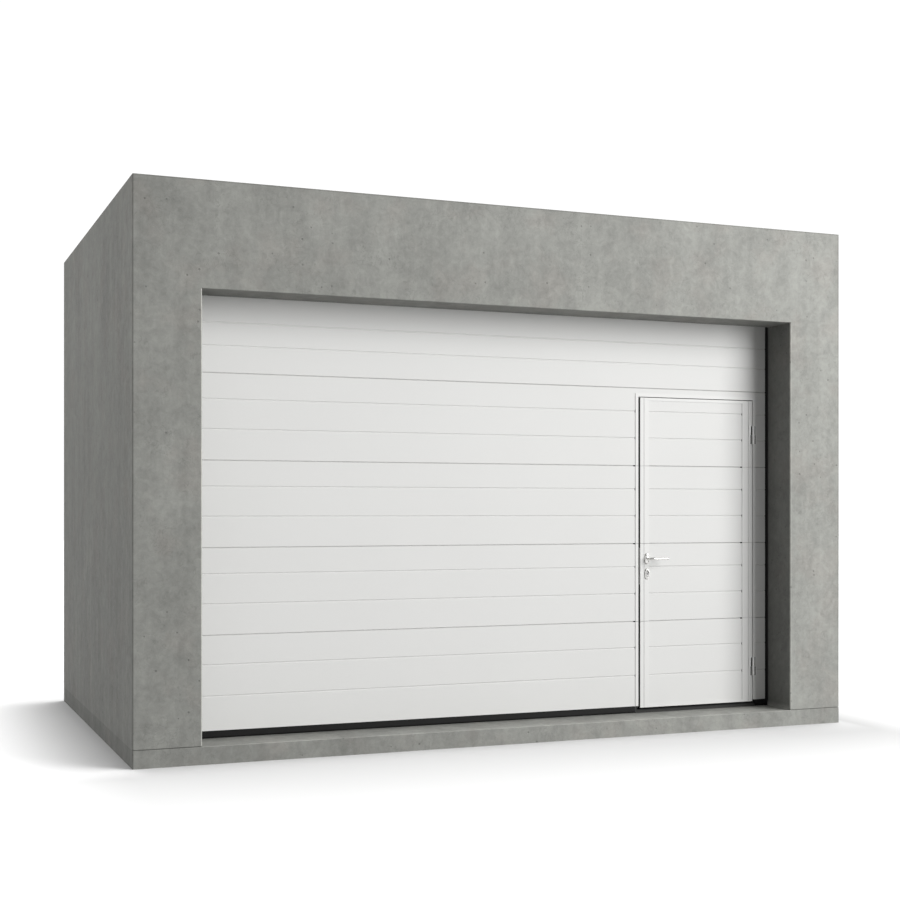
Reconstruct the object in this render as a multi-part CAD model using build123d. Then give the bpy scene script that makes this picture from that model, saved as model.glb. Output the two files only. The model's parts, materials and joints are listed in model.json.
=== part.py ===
from build123d import *

import math
import os

# Sectional garage door with a wicket door, set in a flat-roofed concrete garage.
# Origin: middle of the footprint on the ground. +X runs right along the front,
# +Y into the building, +Z up. Every length is in millimetres.

# Concrete housing
overall_width = 4620.0
overall_depth = 3015.0
post_width = 380.0
portal_depth = 262.0
lintel_height = 600.0
slab_thickness = 100.0
wall_thickness = 200.0
roof_thickness = 200.0
shadow_joint_height = 5.0
shadow_joint_depth = 8.0

# How far a cutting shape reaches past the face that it cuts
cut_overshoot = 1.0

# Insulated sections of the curtain. The divided ones lie beside the wicket door.
divided_sections = 4
curtain_recess = 267.0
curtain_side_gap = 15.0
panel_thickness = 40.0
bottom_seal_height = 44.0
bottom_seal_radius = 10.0
bottom_section_height = 544.0
section_height = 500.0
top_section_height = 500.0
curtain_behind_lintel = 63.0
rib_drops = (150.0, 322.0)
bottom_rib_drops = (169.0, 348.0)
top_rib_drops = (211.0, 344.0)
rib_width = 10.0
rib_floor_width = 4.0
rib_depth = 3.0
seam_gap = 0.3
seam_bevel_height = 3.5
seam_bevel_depth = 6.0
nose_radius = 16.0
nose_centre_drop = 8.0
nose_clearance = 1.0

# Wicket door: leaf and the frame that carries it
leaf_from_right_jamb = 117.0
leaf_width = 848.0
leaf_above_slab = 33.0
leaf_below_seam = 60.0
lock_side_gap = 14.0
hinge_side_gap = 5.0
head_gap = 5.0
profile_wall = 3.0
frame_flange = 21.0
lock_stile_flange = 63.0
hinge_stile_flange = 78.0
lock_stile_line = 27.0
hinge_stile_line = 31.0
top_rail_height = 19.0
bottom_rail_height = 14.0
profile_line_width = 3.0
profile_line_depth = 1.5
profile_split = 2.0
stop_width = 22.0
stop_air = 5.0
gasket_thickness = 3.0
gasket_width = 16.0
gasket_end_gap = 0.5
edge_seal_width = 36.0
threshold_height = 22.0
threshold_overhang = 4.0
threshold_ramp = 16.0
leaf_seal_drop = 6.0
leaf_seal_width = 20.0

# Lift-off hinges of the leaf
lower_hinge_rise = 232.0
upper_hinge_drop = 226.0
hinge_barrel_radius = 8.0
hinge_barrel_length = 60.0
hinge_barrel_air = 1.0
hinge_barrel_split = 0.3
hinge_wing_width = 27.0
hinge_wing_thickness = 4.0
hinge_pin_radius = 4.0
hinge_pin_reach = 50.0
running_clearance = 0.05

# Lever handle, lock and its plates
lever_from_edge = 48.0
lever_above_slab = 991.0
lever_projection = 56.0
lever_length = 140.0
lever_radius = 8.0
lever_tip_radius = 6.0
lever_tip_bevel = 2.0
spindle_radius = 4.5
spindle_hole_radius = 8.0
rose_width = 30.0
rose_height = 72.0
rose_thickness = 8.0
lock_drop = 98.0
lock_section = 1
cylinder_radius = 8.5
cylinder_stem_width = 10.0
cylinder_stem_drop = 24.5
cylinder_proud = 2.0
cylinder_clearance = 0.3
faceplate_height = 235.0
faceplate_width = 24.0
faceplate_top_rise = 70.0
latch_reach = 5.0
latch_width = 12.0
latch_height = 24.0

# Side frames, seals and tracks
angle_wall = 2.0
angle_setback = 4.0
angle_width = 60.0
angle_top_rise = 50.0
side_seal_gap = 0.5
side_seal_set_back = 2.0
side_seal_depth = 30.0
side_seal_base = 10.0
top_seal_height = 40.0
top_seal_rise = 6.0
top_seal_air = 0.5
track_depth = 52.0
track_width = 30.0
track_wall = 2.5
track_mouth = 30.0
track_from_panel = 20.0
track_curve_radius = 250.0
track_curve_start_drop = 50.0
track_end_gap = 20.0
hanger_size = 30.0
hanger_wall = 3.0
hanger_from_curve = 700.0
hanger_from_end = 240.0

# Rollers and the hinges between sections
roller_radius = 22.0
roller_width = 14.0
roller_from_track_back = 8.0
stem_radius = 5.0
sleeve_wall = 3.0
bracket_width = 64.0
bracket_edge_gap = 8.0
bracket_plate = 3.0
bracket_reach = 32.0
bracket_knuckle_rise = 6.0
bottom_roller_rise = 46.0
top_roller_drop = 38.0
roller_above_joint = 20.0
middle_bracket_count = 3
leaf_link_inset = 43.0
leaf_link_width = 30.0

# Counterbalance: shaft, springs, drums and lift cables
shaft_radius = 12.7
shaft_below_ceiling = 85.0
drum_radius = 60.0
drum_flange_height = 6.0
drum_flange_width = 5.0
drum_width = 36.0
drum_hub_radius = 24.0
drum_hub_width = 50.0
cable_radius = 2.0
cable_outside_panel = 10.0
cable_behind_panel = 6.0
cable_pin_radius = 4.0
cable_pin_rise = 20.0
spring_radius = 28.0
spring_length = 740.0
bearing_plate_height = 100.0
bearing_plate_wall = 4.0
bearing_base_width = 60.0
bearing_from_wall = 116.0
bearing_overlap = 30.0
shaft_end = 12.0

# Planes and heights that several pieces share
front_y = -overall_depth / 2
back_y = overall_depth / 2
outer_x = overall_width / 2
jamb_x = outer_x - post_width
inner_x = outer_x - wall_thickness
portal_back_y = front_y + portal_depth
inner_back_y = back_y - wall_thickness
face_y = front_y + curtain_recess
portal_back_u = portal_depth - curtain_recess
curtain_x = jamb_x - curtain_side_gap
curtain_bottom_z = slab_thickness + bottom_seal_height
first_joint_z = curtain_bottom_z + bottom_section_height
joint_z = [first_joint_z + index * section_height for index in range(divided_sections)]
curtain_top_z = joint_z[-1] + top_section_height
soffit_z = curtain_top_z - curtain_behind_lintel
overall_height = soffit_z + lintel_height
ceiling_z = overall_height - roof_thickness
leaf_right_x = jamb_x - leaf_from_right_jamb
leaf_left_x = leaf_right_x - leaf_width
leaf_bottom_z = slab_thickness + leaf_above_slab
leaf_top_z = joint_z[-1] - leaf_below_seam
frame_left_x = leaf_left_x - lock_side_gap
frame_right_x = leaf_right_x + hinge_side_gap
frame_top_z = leaf_top_z + head_gap
inner_face_u = panel_thickness + profile_wall
gasket_u = inner_face_u + stop_air
stop_u = gasket_u + gasket_thickness
hinge_centres_z = (leaf_bottom_z + lower_hinge_rise, leaf_top_z - upper_hinge_drop)
hinge_x = leaf_right_x + hinge_side_gap / 2
hinge_u = -profile_wall - hinge_barrel_air - hinge_barrel_radius
lever_x = leaf_left_x + lever_from_edge
lever_z = slab_thickness + lever_above_slab
lock_z = lever_z - lock_drop
threshold_z = slab_thickness + threshold_height
track_u = panel_thickness + track_from_panel
track_back_x = jamb_x + angle_setback + angle_width - angle_wall
track_front_x = track_back_x - track_width
curve_start_z = soffit_z - track_curve_start_drop
run_z = curve_start_z + track_curve_radius
run_start_u = track_u + track_curve_radius
run_end_u = inner_back_y - face_y - track_end_gap
cable_u = panel_thickness + cable_behind_panel
cable_x = curtain_x + cable_outside_panel
shaft_u = cable_u + cable_radius + drum_radius
shaft_z = ceiling_z - shaft_below_ceiling
mid_leaf = Plane((0, face_y + panel_thickness / 2, 0), x_dir=(1, 0, 0), z_dir=(0, 1, 0))
centre_plane = Plane.YZ


def block(x0, x1, y0, y1, z0, z1):
    """Box between two corners."""
    centre = Pos((x0 + x1) / 2, (y0 + y1) / 2, (z0 + z1) / 2)
    return centre * Box(x1 - x0, y1 - y0, z1 - z0)


def patch(x0, x1, y0, y1):
    """Rectangle between two corners of a sketch."""
    return Pos((x0 + x1) / 2, (y0 + y1) / 2) * Rectangle(abs(x1 - x0), abs(y1 - y0))


def upright(outline, z0, z1):
    """Extrude an outline drawn in x and depth behind the curtain's face, from z0 to z1."""
    return Pos(0, face_y, z0) * extrude(outline, amount=z1 - z0)


def lengthwise(outline, x0, x1, z0=0.0):
    """Extrude an outline drawn in depth behind the curtain's face and height, from x0 to x1."""
    end = Plane((x0, face_y, z0), x_dir=(0, 1, 0), z_dir=(1, 0, 0))
    return extrude(end * outline, amount=x1 - x0)


def facing(x, u, z):
    """Plane that looks out of the front, at a depth u behind the curtain's face."""
    return Plane((x, face_y + u, z), x_dir=(1, 0, 0), z_dir=(0, -1, 0))


def both_sides(solid):
    """A solid and its mirror image across the middle of the building."""
    return [mirror(solid, about=centre_plane), solid]


def both_faces(solid):
    """A solid on the outer face of the leaf and its mirror image on the inner face."""
    return [solid, mirror(solid, about=mid_leaf)]


def save(name, *solids):
    """Write one node, whose solids keep their places."""
    body = solids[0] if len(solids) == 1 else Compound([solid.solid() for solid in solids])
    export_step(body, os.path.join("parts", name + ".step"))


def housing():
    """Floor, portal, walls and roof of the garage."""
    strip = block(-outer_x, outer_x, front_y, portal_back_y, 0, slab_thickness)
    floor = block(-inner_x, inner_x, portal_back_y, inner_back_y, 0, slab_thickness)
    save("floor_slab", strip + floor)
    post = block(jamb_x, outer_x, front_y, portal_back_y, slab_thickness, soffit_z)
    groove = block(
        jamb_x,
        outer_x,
        front_y,
        front_y + shadow_joint_depth,
        slab_thickness,
        slab_thickness + shadow_joint_height,
    )
    left_post, right_post = both_sides(post - groove)
    save("left_post", left_post)
    save("right_post", right_post)
    save("lintel", block(-outer_x, outer_x, front_y, portal_back_y, soffit_z, overall_height))
    wall = block(inner_x, outer_x, portal_back_y, back_y, 0, ceiling_z)
    left_wall, right_wall = both_sides(wall)
    save("left_wall", left_wall)
    save("right_wall", right_wall)
    save("back_wall", block(-inner_x, inner_x, inner_back_y, back_y, 0, ceiling_z))
    save("roof_slab", block(-outer_x, outer_x, portal_back_y, back_y, ceiling_z, overall_height))


def seam_bevel(edge, side):
    """Bevel on the outer corner of a section, where edge is its height and side its direction."""
    corner = edge - side * seam_bevel_height
    beyond = edge + side * cut_overshoot
    return Polygon((0, corner), (seam_bevel_depth, edge), (seam_bevel_depth, beyond),
                   (-cut_overshoot, beyond), (-cut_overshoot, corner), align=None)


def rib_outline():
    """End view of one rib, a shallow groove with sloped sides in the outer face."""
    half = rib_width / 2
    floor = rib_floor_width / 2
    return Polygon((-cut_overshoot, -half), (0, -half), (rib_depth, -floor),
                   (rib_depth, floor), (0, half), (-cut_overshoot, half), align=None)


def section_outline(height, drops, nose, socket):
    """End view of a section: ribs in its outer face, a rounded nose on top, a socket below."""
    outline = patch(0, panel_thickness, 0, height)
    for drop in drops:
        outline -= Pos(0, height - drop) * rib_outline()
    if nose:
        outline += Pos(panel_thickness / 2, height - nose_centre_drop) * Circle(nose_radius)
        outline -= seam_bevel(height, 1)
    if socket:
        hollow = Circle(nose_radius + nose_clearance)
        outline -= Pos(panel_thickness / 2, -seam_gap - nose_centre_drop) * hollow
        outline -= seam_bevel(0, -1)
    return outline


def section(x0, x1, z0, z1, drops, nose=True, socket=True):
    """One section or part of one, from x0 to x1 and z0 to z1."""
    low = z0 + seam_gap if socket else z0
    return lengthwise(section_outline(z1 - low, drops, nose, socket), x0, x1, low)


def curtain():
    """Fixed sections: the full top one and the parts left and right of the wicket door."""
    left_end = frame_left_x - profile_wall
    right_end = frame_right_x + profile_wall
    bottoms = [curtain_bottom_z, *joint_z[:-1]]
    for index in range(divided_sections):
        drops = rib_drops if index else bottom_rib_drops
        left = section(-curtain_x, left_end, bottoms[index], joint_z[index], drops, socket=index > 0)
        save(f"left_section_{index + 1}", left)
        right = section(right_end, curtain_x, bottoms[index], joint_z[index], drops, socket=index > 0)
        save(f"right_section_{index + 1}", right)
    head_bottom = frame_top_z + profile_wall
    save("head_section", section(left_end, right_end, head_bottom, joint_z[-1], (), socket=False))
    top = section(-curtain_x, curtain_x, joint_z[-1], curtain_top_z, top_rib_drops, nose=False)
    save("top_section", top)


def split_heights(bottom, top):
    """Spans of an upright profile, which is cut at each seam so that the sections can fold."""
    edges = [bottom, *joint_z[:-1], top]
    spans = []
    for low, high in zip(edges[:-1], edges[1:]):
        start = low if low == bottom else low + profile_split / 2
        end = high if high == top else high - profile_split / 2
        spans.append((start, end))
    return spans


def jamb_outline(edge_x, side):
    """Fixed jamb: flanges on both faces, web and stop. The doorway is on the given side."""
    outer = patch(edge_x - side * frame_flange, edge_x, -profile_wall, 0)
    web = patch(edge_x - side * profile_wall, edge_x, 0, stop_u + profile_wall)
    inner = patch(edge_x - side * frame_flange, edge_x, panel_thickness, inner_face_u)
    stop = patch(edge_x, edge_x + side * stop_width, stop_u, stop_u + profile_wall)
    return outer + web + inner + stop


def wicket_frame():
    """Jambs, head and threshold round the wicket leaf, with the gaskets on their stops."""
    for name, edge_x, side in (("wicket_lock_jamb", frame_left_x, 1),
                               ("wicket_hinge_jamb", frame_right_x, -1)):
        outline = jamb_outline(edge_x, side)
        spans = split_heights(curtain_bottom_z, frame_top_z)
        save(name, *[upright(outline, low, high) for low, high in spans])
    stop_left = frame_left_x + stop_width
    stop_right = frame_right_x - stop_width
    flanges = patch(-profile_wall, 0, frame_top_z, frame_top_z + frame_flange)
    flanges += patch(panel_thickness, inner_face_u, frame_top_z, frame_top_z + frame_flange)
    web = patch(-profile_wall, stop_u + profile_wall, frame_top_z, frame_top_z + profile_wall)
    lip = patch(stop_u, stop_u + profile_wall, frame_top_z - stop_width, frame_top_z)
    head = lengthwise(flanges, frame_left_x - frame_flange, frame_right_x + frame_flange)
    head += lengthwise(web, frame_left_x - profile_wall, frame_right_x + profile_wall)
    save("wicket_head", head + lengthwise(lip, stop_left, stop_right))
    gasket_top = frame_top_z - stop_width
    strips = []
    for edge_x, side in ((stop_left, -1), (stop_right, 1)):
        strip = patch(edge_x, edge_x + side * gasket_width, gasket_u, stop_u)
        strips.append(upright(strip, curtain_bottom_z, gasket_top - gasket_end_gap))
    top_strip = patch(gasket_u, stop_u, gasket_top, gasket_top + gasket_width)
    strips.append(lengthwise(top_strip, stop_left, stop_right))
    save("stop_gaskets", *strips)
    threshold()


def threshold():
    """Low ramped sill between the jambs, with a foot under each jamb."""
    back = stop_u + profile_wall
    ramp = Polygon((-threshold_overhang, slab_thickness), (back, slab_thickness),
                   (back, threshold_z), (threshold_ramp, threshold_z), align=None)
    left = frame_left_x - frame_flange
    right = frame_right_x + frame_flange
    sill = lengthwise(ramp, left, right)
    foot = patch(threshold_ramp, back, slab_thickness, curtain_bottom_z)
    sill += lengthwise(foot, left, frame_left_x)
    sill += lengthwise(foot, frame_right_x, right)
    save("threshold", sill)


def stile_outline(edge_x, side, flange, line):
    """Leaf stile: wide flanges on both faces and a web, with a fine line along the outer flange."""
    outer = patch(edge_x, edge_x + side * flange, -profile_wall, 0)
    web = patch(edge_x, edge_x + side * profile_wall, 0, panel_thickness)
    inner = patch(edge_x, edge_x + side * flange, panel_thickness, inner_face_u)
    groove_x = edge_x + side * line
    groove = patch(groove_x - profile_line_width / 2, groove_x + profile_line_width / 2,
                   -profile_wall, profile_line_depth - profile_wall)
    return outer + web + inner - groove


def rail_outline(edge_z, side, height):
    """Leaf rail: a web along the end of the panel and a flange on each face."""
    web = patch(-profile_wall, inner_face_u, edge_z, edge_z + side * profile_wall)
    outer = patch(-profile_wall, 0, edge_z, edge_z + side * height)
    inner = patch(panel_thickness, inner_face_u, edge_z, edge_z + side * height)
    return web, outer + inner


def cylinder_outline(margin):
    """Keyhole-shaped profile of the lock cylinder, widened by a margin."""
    stem_centre = -cylinder_stem_drop + cylinder_stem_width / 2 + cylinder_radius
    stem = patch(-cylinder_stem_width / 2 - margin, cylinder_stem_width / 2 + margin, stem_centre, 0)
    tip = Pos(0, stem_centre) * Circle(cylinder_stem_width / 2 + margin)
    return Circle(cylinder_radius + margin) + stem + tip


def lock_cuts():
    """Holes for the spindle and the lock cylinder through the whole leaf."""
    start_u = inner_face_u + cut_overshoot
    length = start_u + profile_wall + cut_overshoot
    spindle = extrude(facing(lever_x, start_u, lever_z) * Circle(spindle_hole_radius), amount=length)
    outline = cylinder_outline(cylinder_clearance)
    cylinder = extrude(facing(lever_x, start_u, lock_z) * outline, amount=length)
    return [spindle, cylinder]


def leaf():
    """Wicket leaf: four panels, stiles cut at the seams, rails and seals."""
    left = leaf_left_x + profile_wall
    right = leaf_right_x - profile_wall
    bottom = leaf_bottom_z + profile_wall
    top = leaf_top_z - profile_wall
    cuts = lock_cuts()
    bottoms = [bottom, *joint_z[:-1]]
    tops = [*joint_z[:-1], top]
    for index in range(divided_sections):
        row_drops = rib_drops if index else bottom_rib_drops
        drops = [drop - joint_z[index] + tops[index] for drop in row_drops]
        panel = section(left, right, bottoms[index], tops[index], drops,
                        nose=tops[index] < top, socket=index > 0)
        if index == lock_section:
            panel = panel - cuts[0] - cuts[1]
        save(f"leaf_section_{index + 1}", panel)
    outline = stile_outline(leaf_left_x, 1, lock_stile_flange, lock_stile_line)
    stile = [upright(outline, low, high) for low, high in split_heights(bottom, top)]
    stile[lock_section] = stile[lock_section] - cuts[0] - cuts[1]
    save("leaf_lock_stile", *stile)
    outline = stile_outline(leaf_right_x, -1, hinge_stile_flange, hinge_stile_line)
    spans = split_heights(bottom, top)
    save("leaf_hinge_stile", *[upright(outline, low, high) for low, high in spans])
    rails = []
    for edge_z, side, height in ((leaf_bottom_z, 1, bottom_rail_height),
                                 (leaf_top_z, -1, top_rail_height)):
        web, flanges = rail_outline(edge_z, side, height)
        rail = lengthwise(web, leaf_left_x, leaf_right_x)
        flange_left = leaf_left_x + lock_stile_flange
        flange_right = leaf_right_x - hinge_stile_flange
        rails.append(rail + lengthwise(flanges, flange_left, flange_right))
    save("leaf_rails", *rails)
    leaf_seals(bottom, top)


def leaf_seals(bottom, top):
    """Seal on the lock edge, the lip under the leaf and the lock's faceplate with its latch."""
    low_u = (panel_thickness - edge_seal_width) / 2
    strip = patch(leaf_left_x - gasket_thickness, leaf_left_x, low_u, low_u + edge_seal_width)
    plate_top = lever_z + faceplate_top_rise
    plate_bottom = plate_top - faceplate_height
    save("leaf_edge_seal", upright(strip, bottom, plate_bottom), upright(strip, plate_top, top))
    mid_u = panel_thickness / 2
    lip = patch(mid_u - leaf_seal_width / 2, mid_u + leaf_seal_width / 2,
                leaf_bottom_z - leaf_seal_drop, leaf_bottom_z)
    save("leaf_bottom_seal", lengthwise(lip, leaf_left_x, leaf_right_x))
    plate = patch(leaf_left_x - gasket_thickness, leaf_left_x,
                  mid_u - faceplate_width / 2, mid_u + faceplate_width / 2)
    latch = patch(leaf_left_x - gasket_thickness - latch_reach, leaf_left_x - gasket_thickness,
                  mid_u - latch_width / 2, mid_u + latch_width / 2)
    faceplate = upright(plate, plate_bottom, plate_top)
    faceplate += upright(latch, lever_z - latch_height / 2, lever_z + latch_height / 2)
    save("lock_faceplate", faceplate)


def hinge_half(side, low, high):
    """Barrel and wing of one hinge half. side is -1 on the leaf and +1 on the frame."""
    barrel = Pos(hinge_x, hinge_u) * Circle(hinge_barrel_radius)
    gap = hinge_side_gap / 2
    wing = patch(hinge_x + side * gap, hinge_x + side * (gap + hinge_wing_width),
                 -profile_wall - hinge_wing_thickness, -profile_wall)
    knuckle = patch(hinge_x, hinge_x + side * (gap + hinge_barrel_radius),
                    hinge_u, -profile_wall - hinge_barrel_air)
    keep = patch(hinge_x, hinge_x + side * (gap + hinge_barrel_radius),
                 -profile_wall - hinge_wing_thickness, -profile_wall - hinge_barrel_air)
    return upright(barrel + wing + (knuckle & keep), low, high)


def leaf_hinges():
    """Two lift-off hinges: the frame half holds the pin, the leaf half drops over it."""
    leaf_halves = []
    frame_halves = []
    for centre_z in hinge_centres_z:
        seat_z = centre_z - hinge_barrel_split / 2
        foot = Plane((hinge_x, face_y + hinge_u, centre_z - hinge_barrel_length))
        pin_length = hinge_barrel_length + hinge_pin_reach
        lower = hinge_half(1, centre_z - hinge_barrel_length, seat_z)
        pin = foot * extrude(Circle(hinge_pin_radius), pin_length)
        frame_halves.append(lower + pin)
        upper = hinge_half(-1, seat_z + hinge_barrel_split, centre_z + hinge_barrel_length)
        bore = foot * extrude(Circle(hinge_pin_radius + running_clearance), pin_length + cut_overshoot)
        leaf_halves.append(upper - bore)
    save("leaf_hinge_halves", *leaf_halves)
    save("frame_hinge_halves", *frame_halves)


def rose(z, opening):
    """Oval plate on the outer face of the lock stile, with its opening cut through."""
    base = facing(lever_x, -profile_wall, z)
    oval = Rot(0, 0, 90) * SlotOverall(rose_height, rose_width)
    return extrude(base * (oval - opening), amount=rose_thickness)


def lock_furniture():
    """Roses round the lever, plates round the lock cylinder and the cylinder itself."""
    neck_hole = Circle(lever_radius + running_clearance)
    save("lever_roses", *both_faces(rose(lever_z, neck_hole)))
    save("lock_roses", *both_faces(rose(lock_z, cylinder_outline(cylinder_clearance))))
    proud = profile_wall + rose_thickness + cylinder_proud
    start = facing(lever_x, panel_thickness + proud, lock_z)
    cylinder = extrude(start * cylinder_outline(0), amount=panel_thickness + 2 * proud)
    save("lock_cylinder", cylinder)


def lever():
    """Levers on both faces of the leaf, joined by their spindle, each mitred and tapered."""
    end_y = face_y - profile_wall - lever_projection
    mitre = Plane((lever_x, end_y, lever_z), z_dir=(1, -1, 0))
    start = facing(lever_x, -profile_wall, lever_z)
    neck = extrude(start * Circle(lever_radius), amount=lever_projection + lever_radius)
    side = Plane((lever_x - lever_radius, end_y, lever_z), x_dir=(0, 1, 0), z_dir=(1, 0, 0))
    stub = extrude(side * Circle(lever_radius), amount=2 * lever_radius)
    grip = split(neck, bisect_by=mitre, keep=Keep.BOTTOM) + split(stub, bisect_by=mitre, keep=Keep.TOP)
    root = side.offset(2 * lever_radius)
    upward = (Align.CENTER, Align.CENTER, Align.MIN)
    taper = root * Cone(lever_radius, lever_tip_radius, lever_length - lever_radius, align=upward)
    rim = taper.faces().sort_by(Axis.X)[-1].edges()
    grip += chamfer(rim, lever_tip_bevel)
    spindle_start = facing(lever_x, inner_face_u, lever_z)
    spindle = extrude(spindle_start * Circle(spindle_radius), amount=inner_face_u + profile_wall)
    outside, inside = both_faces(grip)
    save("lever_handle", spindle + outside + inside)


def seals():
    """Bottom seals left and right of the wicket door, side seals and the seal above."""
    profile = patch(threshold_overhang, panel_thickness, slab_thickness, curtain_bottom_z)
    profile = fillet(profile.vertices().group_by(Axis.Y)[0], bottom_seal_radius)
    left = lengthwise(profile, -curtain_x, frame_left_x - frame_flange)
    right = lengthwise(profile, frame_right_x + frame_flange, curtain_x)
    save("bottom_seals", left, right)
    seal_x = curtain_x + side_seal_gap
    base_u = portal_back_u + angle_wall
    strip = patch(seal_x, jamb_x, side_seal_set_back, side_seal_depth)
    strip += patch(seal_x, jamb_x + angle_setback + side_seal_base, base_u, side_seal_set_back + angle_wall)
    save("side_seals", *both_sides(upright(strip, slab_thickness, soffit_z)))
    bulb = patch(portal_back_u, -top_seal_air, soffit_z + top_seal_rise,
                 soffit_z + top_seal_rise + top_seal_height)
    save("top_seal", lengthwise(bulb, -curtain_x, curtain_x))


def side_frames():
    """Steel angles behind the posts that carry the side seals and the upright tracks."""
    x0 = jamb_x + angle_setback
    x1 = x0 + angle_width
    leg = patch(x0, x1, portal_back_u, portal_back_u + angle_wall)
    leg += patch(x1 - angle_wall, x1, portal_back_u, track_u + track_depth / 2)
    save("side_frames", *both_sides(upright(leg, slab_thickness, soffit_z + angle_top_rise)))


def track_outline():
    """Track seen from its end: a channel with its mouth towards the curtain."""
    shell = patch(track_front_x, track_back_x, -track_depth / 2, track_depth / 2)
    hollow = patch(track_front_x + track_wall, track_back_x - track_wall,
                   -track_depth / 2 + track_wall, track_depth / 2 - track_wall)
    mouth = patch(track_front_x, track_front_x + track_wall, -track_mouth / 2, track_mouth / 2)
    return shell - hollow - mouth


def tracks():
    """Upright, curved and level tracks on both sides, and the hangers under the roof."""
    outline = Pos(0, track_u) * track_outline()
    save("upright_tracks", *both_sides(upright(outline, slab_thickness, curve_start_z)))
    base = Pos(0, face_y, curve_start_z) * outline
    centre_y = face_y + run_start_u
    axis = Axis((0, centre_y, curve_start_z), (-1, 0, 0))
    save("curved_tracks", *both_sides(revolve(base, axis=axis, revolution_arc=90)))
    start = Plane((0, face_y + run_start_u, run_z), x_dir=(1, 0, 0), z_dir=(0, 1, 0))
    run = extrude(start * track_outline(), amount=run_end_u - run_start_u)
    save("level_tracks", *both_sides(run))
    x1 = track_back_x
    hangers = []
    for u in (run_start_u + hanger_from_curve, run_end_u - hanger_from_end):
        y0 = face_y + u
        iron = block(x1 - hanger_size, x1, y0, y0 + hanger_wall, run_z + track_depth / 2, ceiling_z)
        iron += block(x1 - hanger_wall, x1, y0, y0 + hanger_size, run_z + track_depth / 2, ceiling_z)
        hangers.extend(both_sides(iron))
    save("track_hangers", *hangers)


def roller_places():
    """Height of each roller and its depth behind the curtain's face, from the bottom up."""
    top_z = curtain_top_z - top_roller_drop
    rise = top_z - curve_start_z
    shift = track_curve_radius - math.sqrt(track_curve_radius ** 2 - rise ** 2)
    places = [(curtain_bottom_z + bottom_roller_rise, track_u)]
    places += [(z + roller_above_joint, track_u) for z in joint_z]
    places.append((top_z, track_u + shift))
    return places


def rollers():
    """Wheels in the tracks on stems that reach into the end brackets."""
    pairs = []
    wheel_x1 = track_back_x - roller_from_track_back
    stem_x0 = curtain_x - bracket_edge_gap - bracket_width
    for z, u in roller_places():
        centre = Pos(u, z)
        wheel = lengthwise(centre * Circle(roller_radius), wheel_x1 - roller_width, wheel_x1)
        stem = lengthwise(centre * Circle(stem_radius), stem_x0, wheel_x1 - roller_width)
        pairs.extend(both_sides(wheel + stem))
    save("rollers", *pairs)


def bracket_outline(joint, roller=None):
    """Hinge across a seam, or an end bracket with a square sleeve at a roller's height and depth."""
    plate_u = panel_thickness + bracket_plate
    low, high = (joint - bracket_reach, joint + bracket_reach)
    outline = patch(panel_thickness, plate_u, low, high)
    rise = bracket_knuckle_rise
    outline += Polygon((plate_u, joint - rise), (plate_u + rise, joint - rise / 2),
                       (plate_u + rise, joint + rise / 2), (plate_u, joint + rise), align=None)
    if roller:
        z, u = roller
        bore = stem_radius + running_clearance
        reach = bore + sleeve_wall
        outline += patch(panel_thickness, u + reach, z - reach, z + reach)
        outline -= patch(u - bore, u + bore, z - bore, z + bore)
    return outline


def brackets():
    """End brackets with roller sleeves, and the hinges that join the sections inside."""
    x1 = curtain_x - bracket_edge_gap
    x0 = x1 - bracket_width
    places = roller_places()
    middles = [places[0][0], *joint_z, places[-1][0]]
    ends = [lengthwise(bracket_outline(middle, place), x0, x1)
            for middle, place in zip(middles, places)]
    pin = Pos(cable_u, curtain_bottom_z + cable_pin_rise) * Circle(cable_pin_radius)
    ends[0] += lengthwise(pin, x1 - bracket_width / 2, cable_x + cable_pin_radius)
    save("end_brackets", *ends, *[mirror(end, about=centre_plane) for end in ends])
    half = bracket_width / 2
    hinges = []
    pitch = (frame_left_x + curtain_x) / (middle_bracket_count + 1)
    places_x = [-curtain_x + pitch * (index + 1) for index in range(middle_bracket_count)]
    for z in joint_z:
        outline = bracket_outline(z)
        hinges += [lengthwise(outline, x - half, x + half) for x in places_x]
    head_x = (frame_left_x + frame_right_x) / 2
    hinges.append(lengthwise(bracket_outline(joint_z[-1]), head_x - half, head_x + half))
    save("section_hinges", *hinges)
    leaf_links()


def leaf_links():
    """Small hinges that let the stiles of the leaf fold with the sections."""
    half = leaf_link_width / 2
    links = []
    for z in joint_z[:-1]:
        outline = Pos(profile_wall, 0) * bracket_outline(z)
        for x in (leaf_left_x + leaf_link_inset, leaf_right_x - leaf_link_inset):
            links.append(lengthwise(outline, x - half, x + half))
    save("leaf_links", *links)


def counterbalance():
    """Shaft above the opening with its bearings, springs, drums and lift cables."""
    bearing_x = inner_x - bearing_from_wall
    end_x = bearing_x + bearing_plate_wall + shaft_end
    centre = Pos(shaft_u, shaft_z)
    save("spring_shaft", lengthwise(centre * Circle(shaft_radius), -end_x, end_x))
    bore = centre * Circle(shaft_radius + running_clearance)
    low = shaft_z - bearing_plate_height / 2
    high = shaft_z + bearing_plate_height / 2
    base = patch(portal_back_u, portal_back_u + bearing_plate_wall, low, high)
    plate = patch(portal_back_u, shaft_u + bearing_overlap, low, high) - bore
    half = bearing_base_width / 2
    wall = bearing_plate_wall
    bearing = lengthwise(plate, bearing_x, bearing_x + wall)
    bearing += lengthwise(base, bearing_x - half, bearing_x + half)
    middle = lengthwise(plate, -wall / 2, wall / 2) + lengthwise(base, -half, half)
    save("shaft_bearings", middle, *both_sides(bearing))
    save("torsion_springs", *both_sides(spring(centre)))
    save("cable_drums", *both_sides(drum(centre)))
    bottom_z = curtain_bottom_z + cable_pin_rise + cable_pin_radius
    cable = Pos(cable_x, cable_u) * Circle(cable_radius)
    save("lift_cables", *both_sides(upright(cable, bottom_z, shaft_z)))


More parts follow.
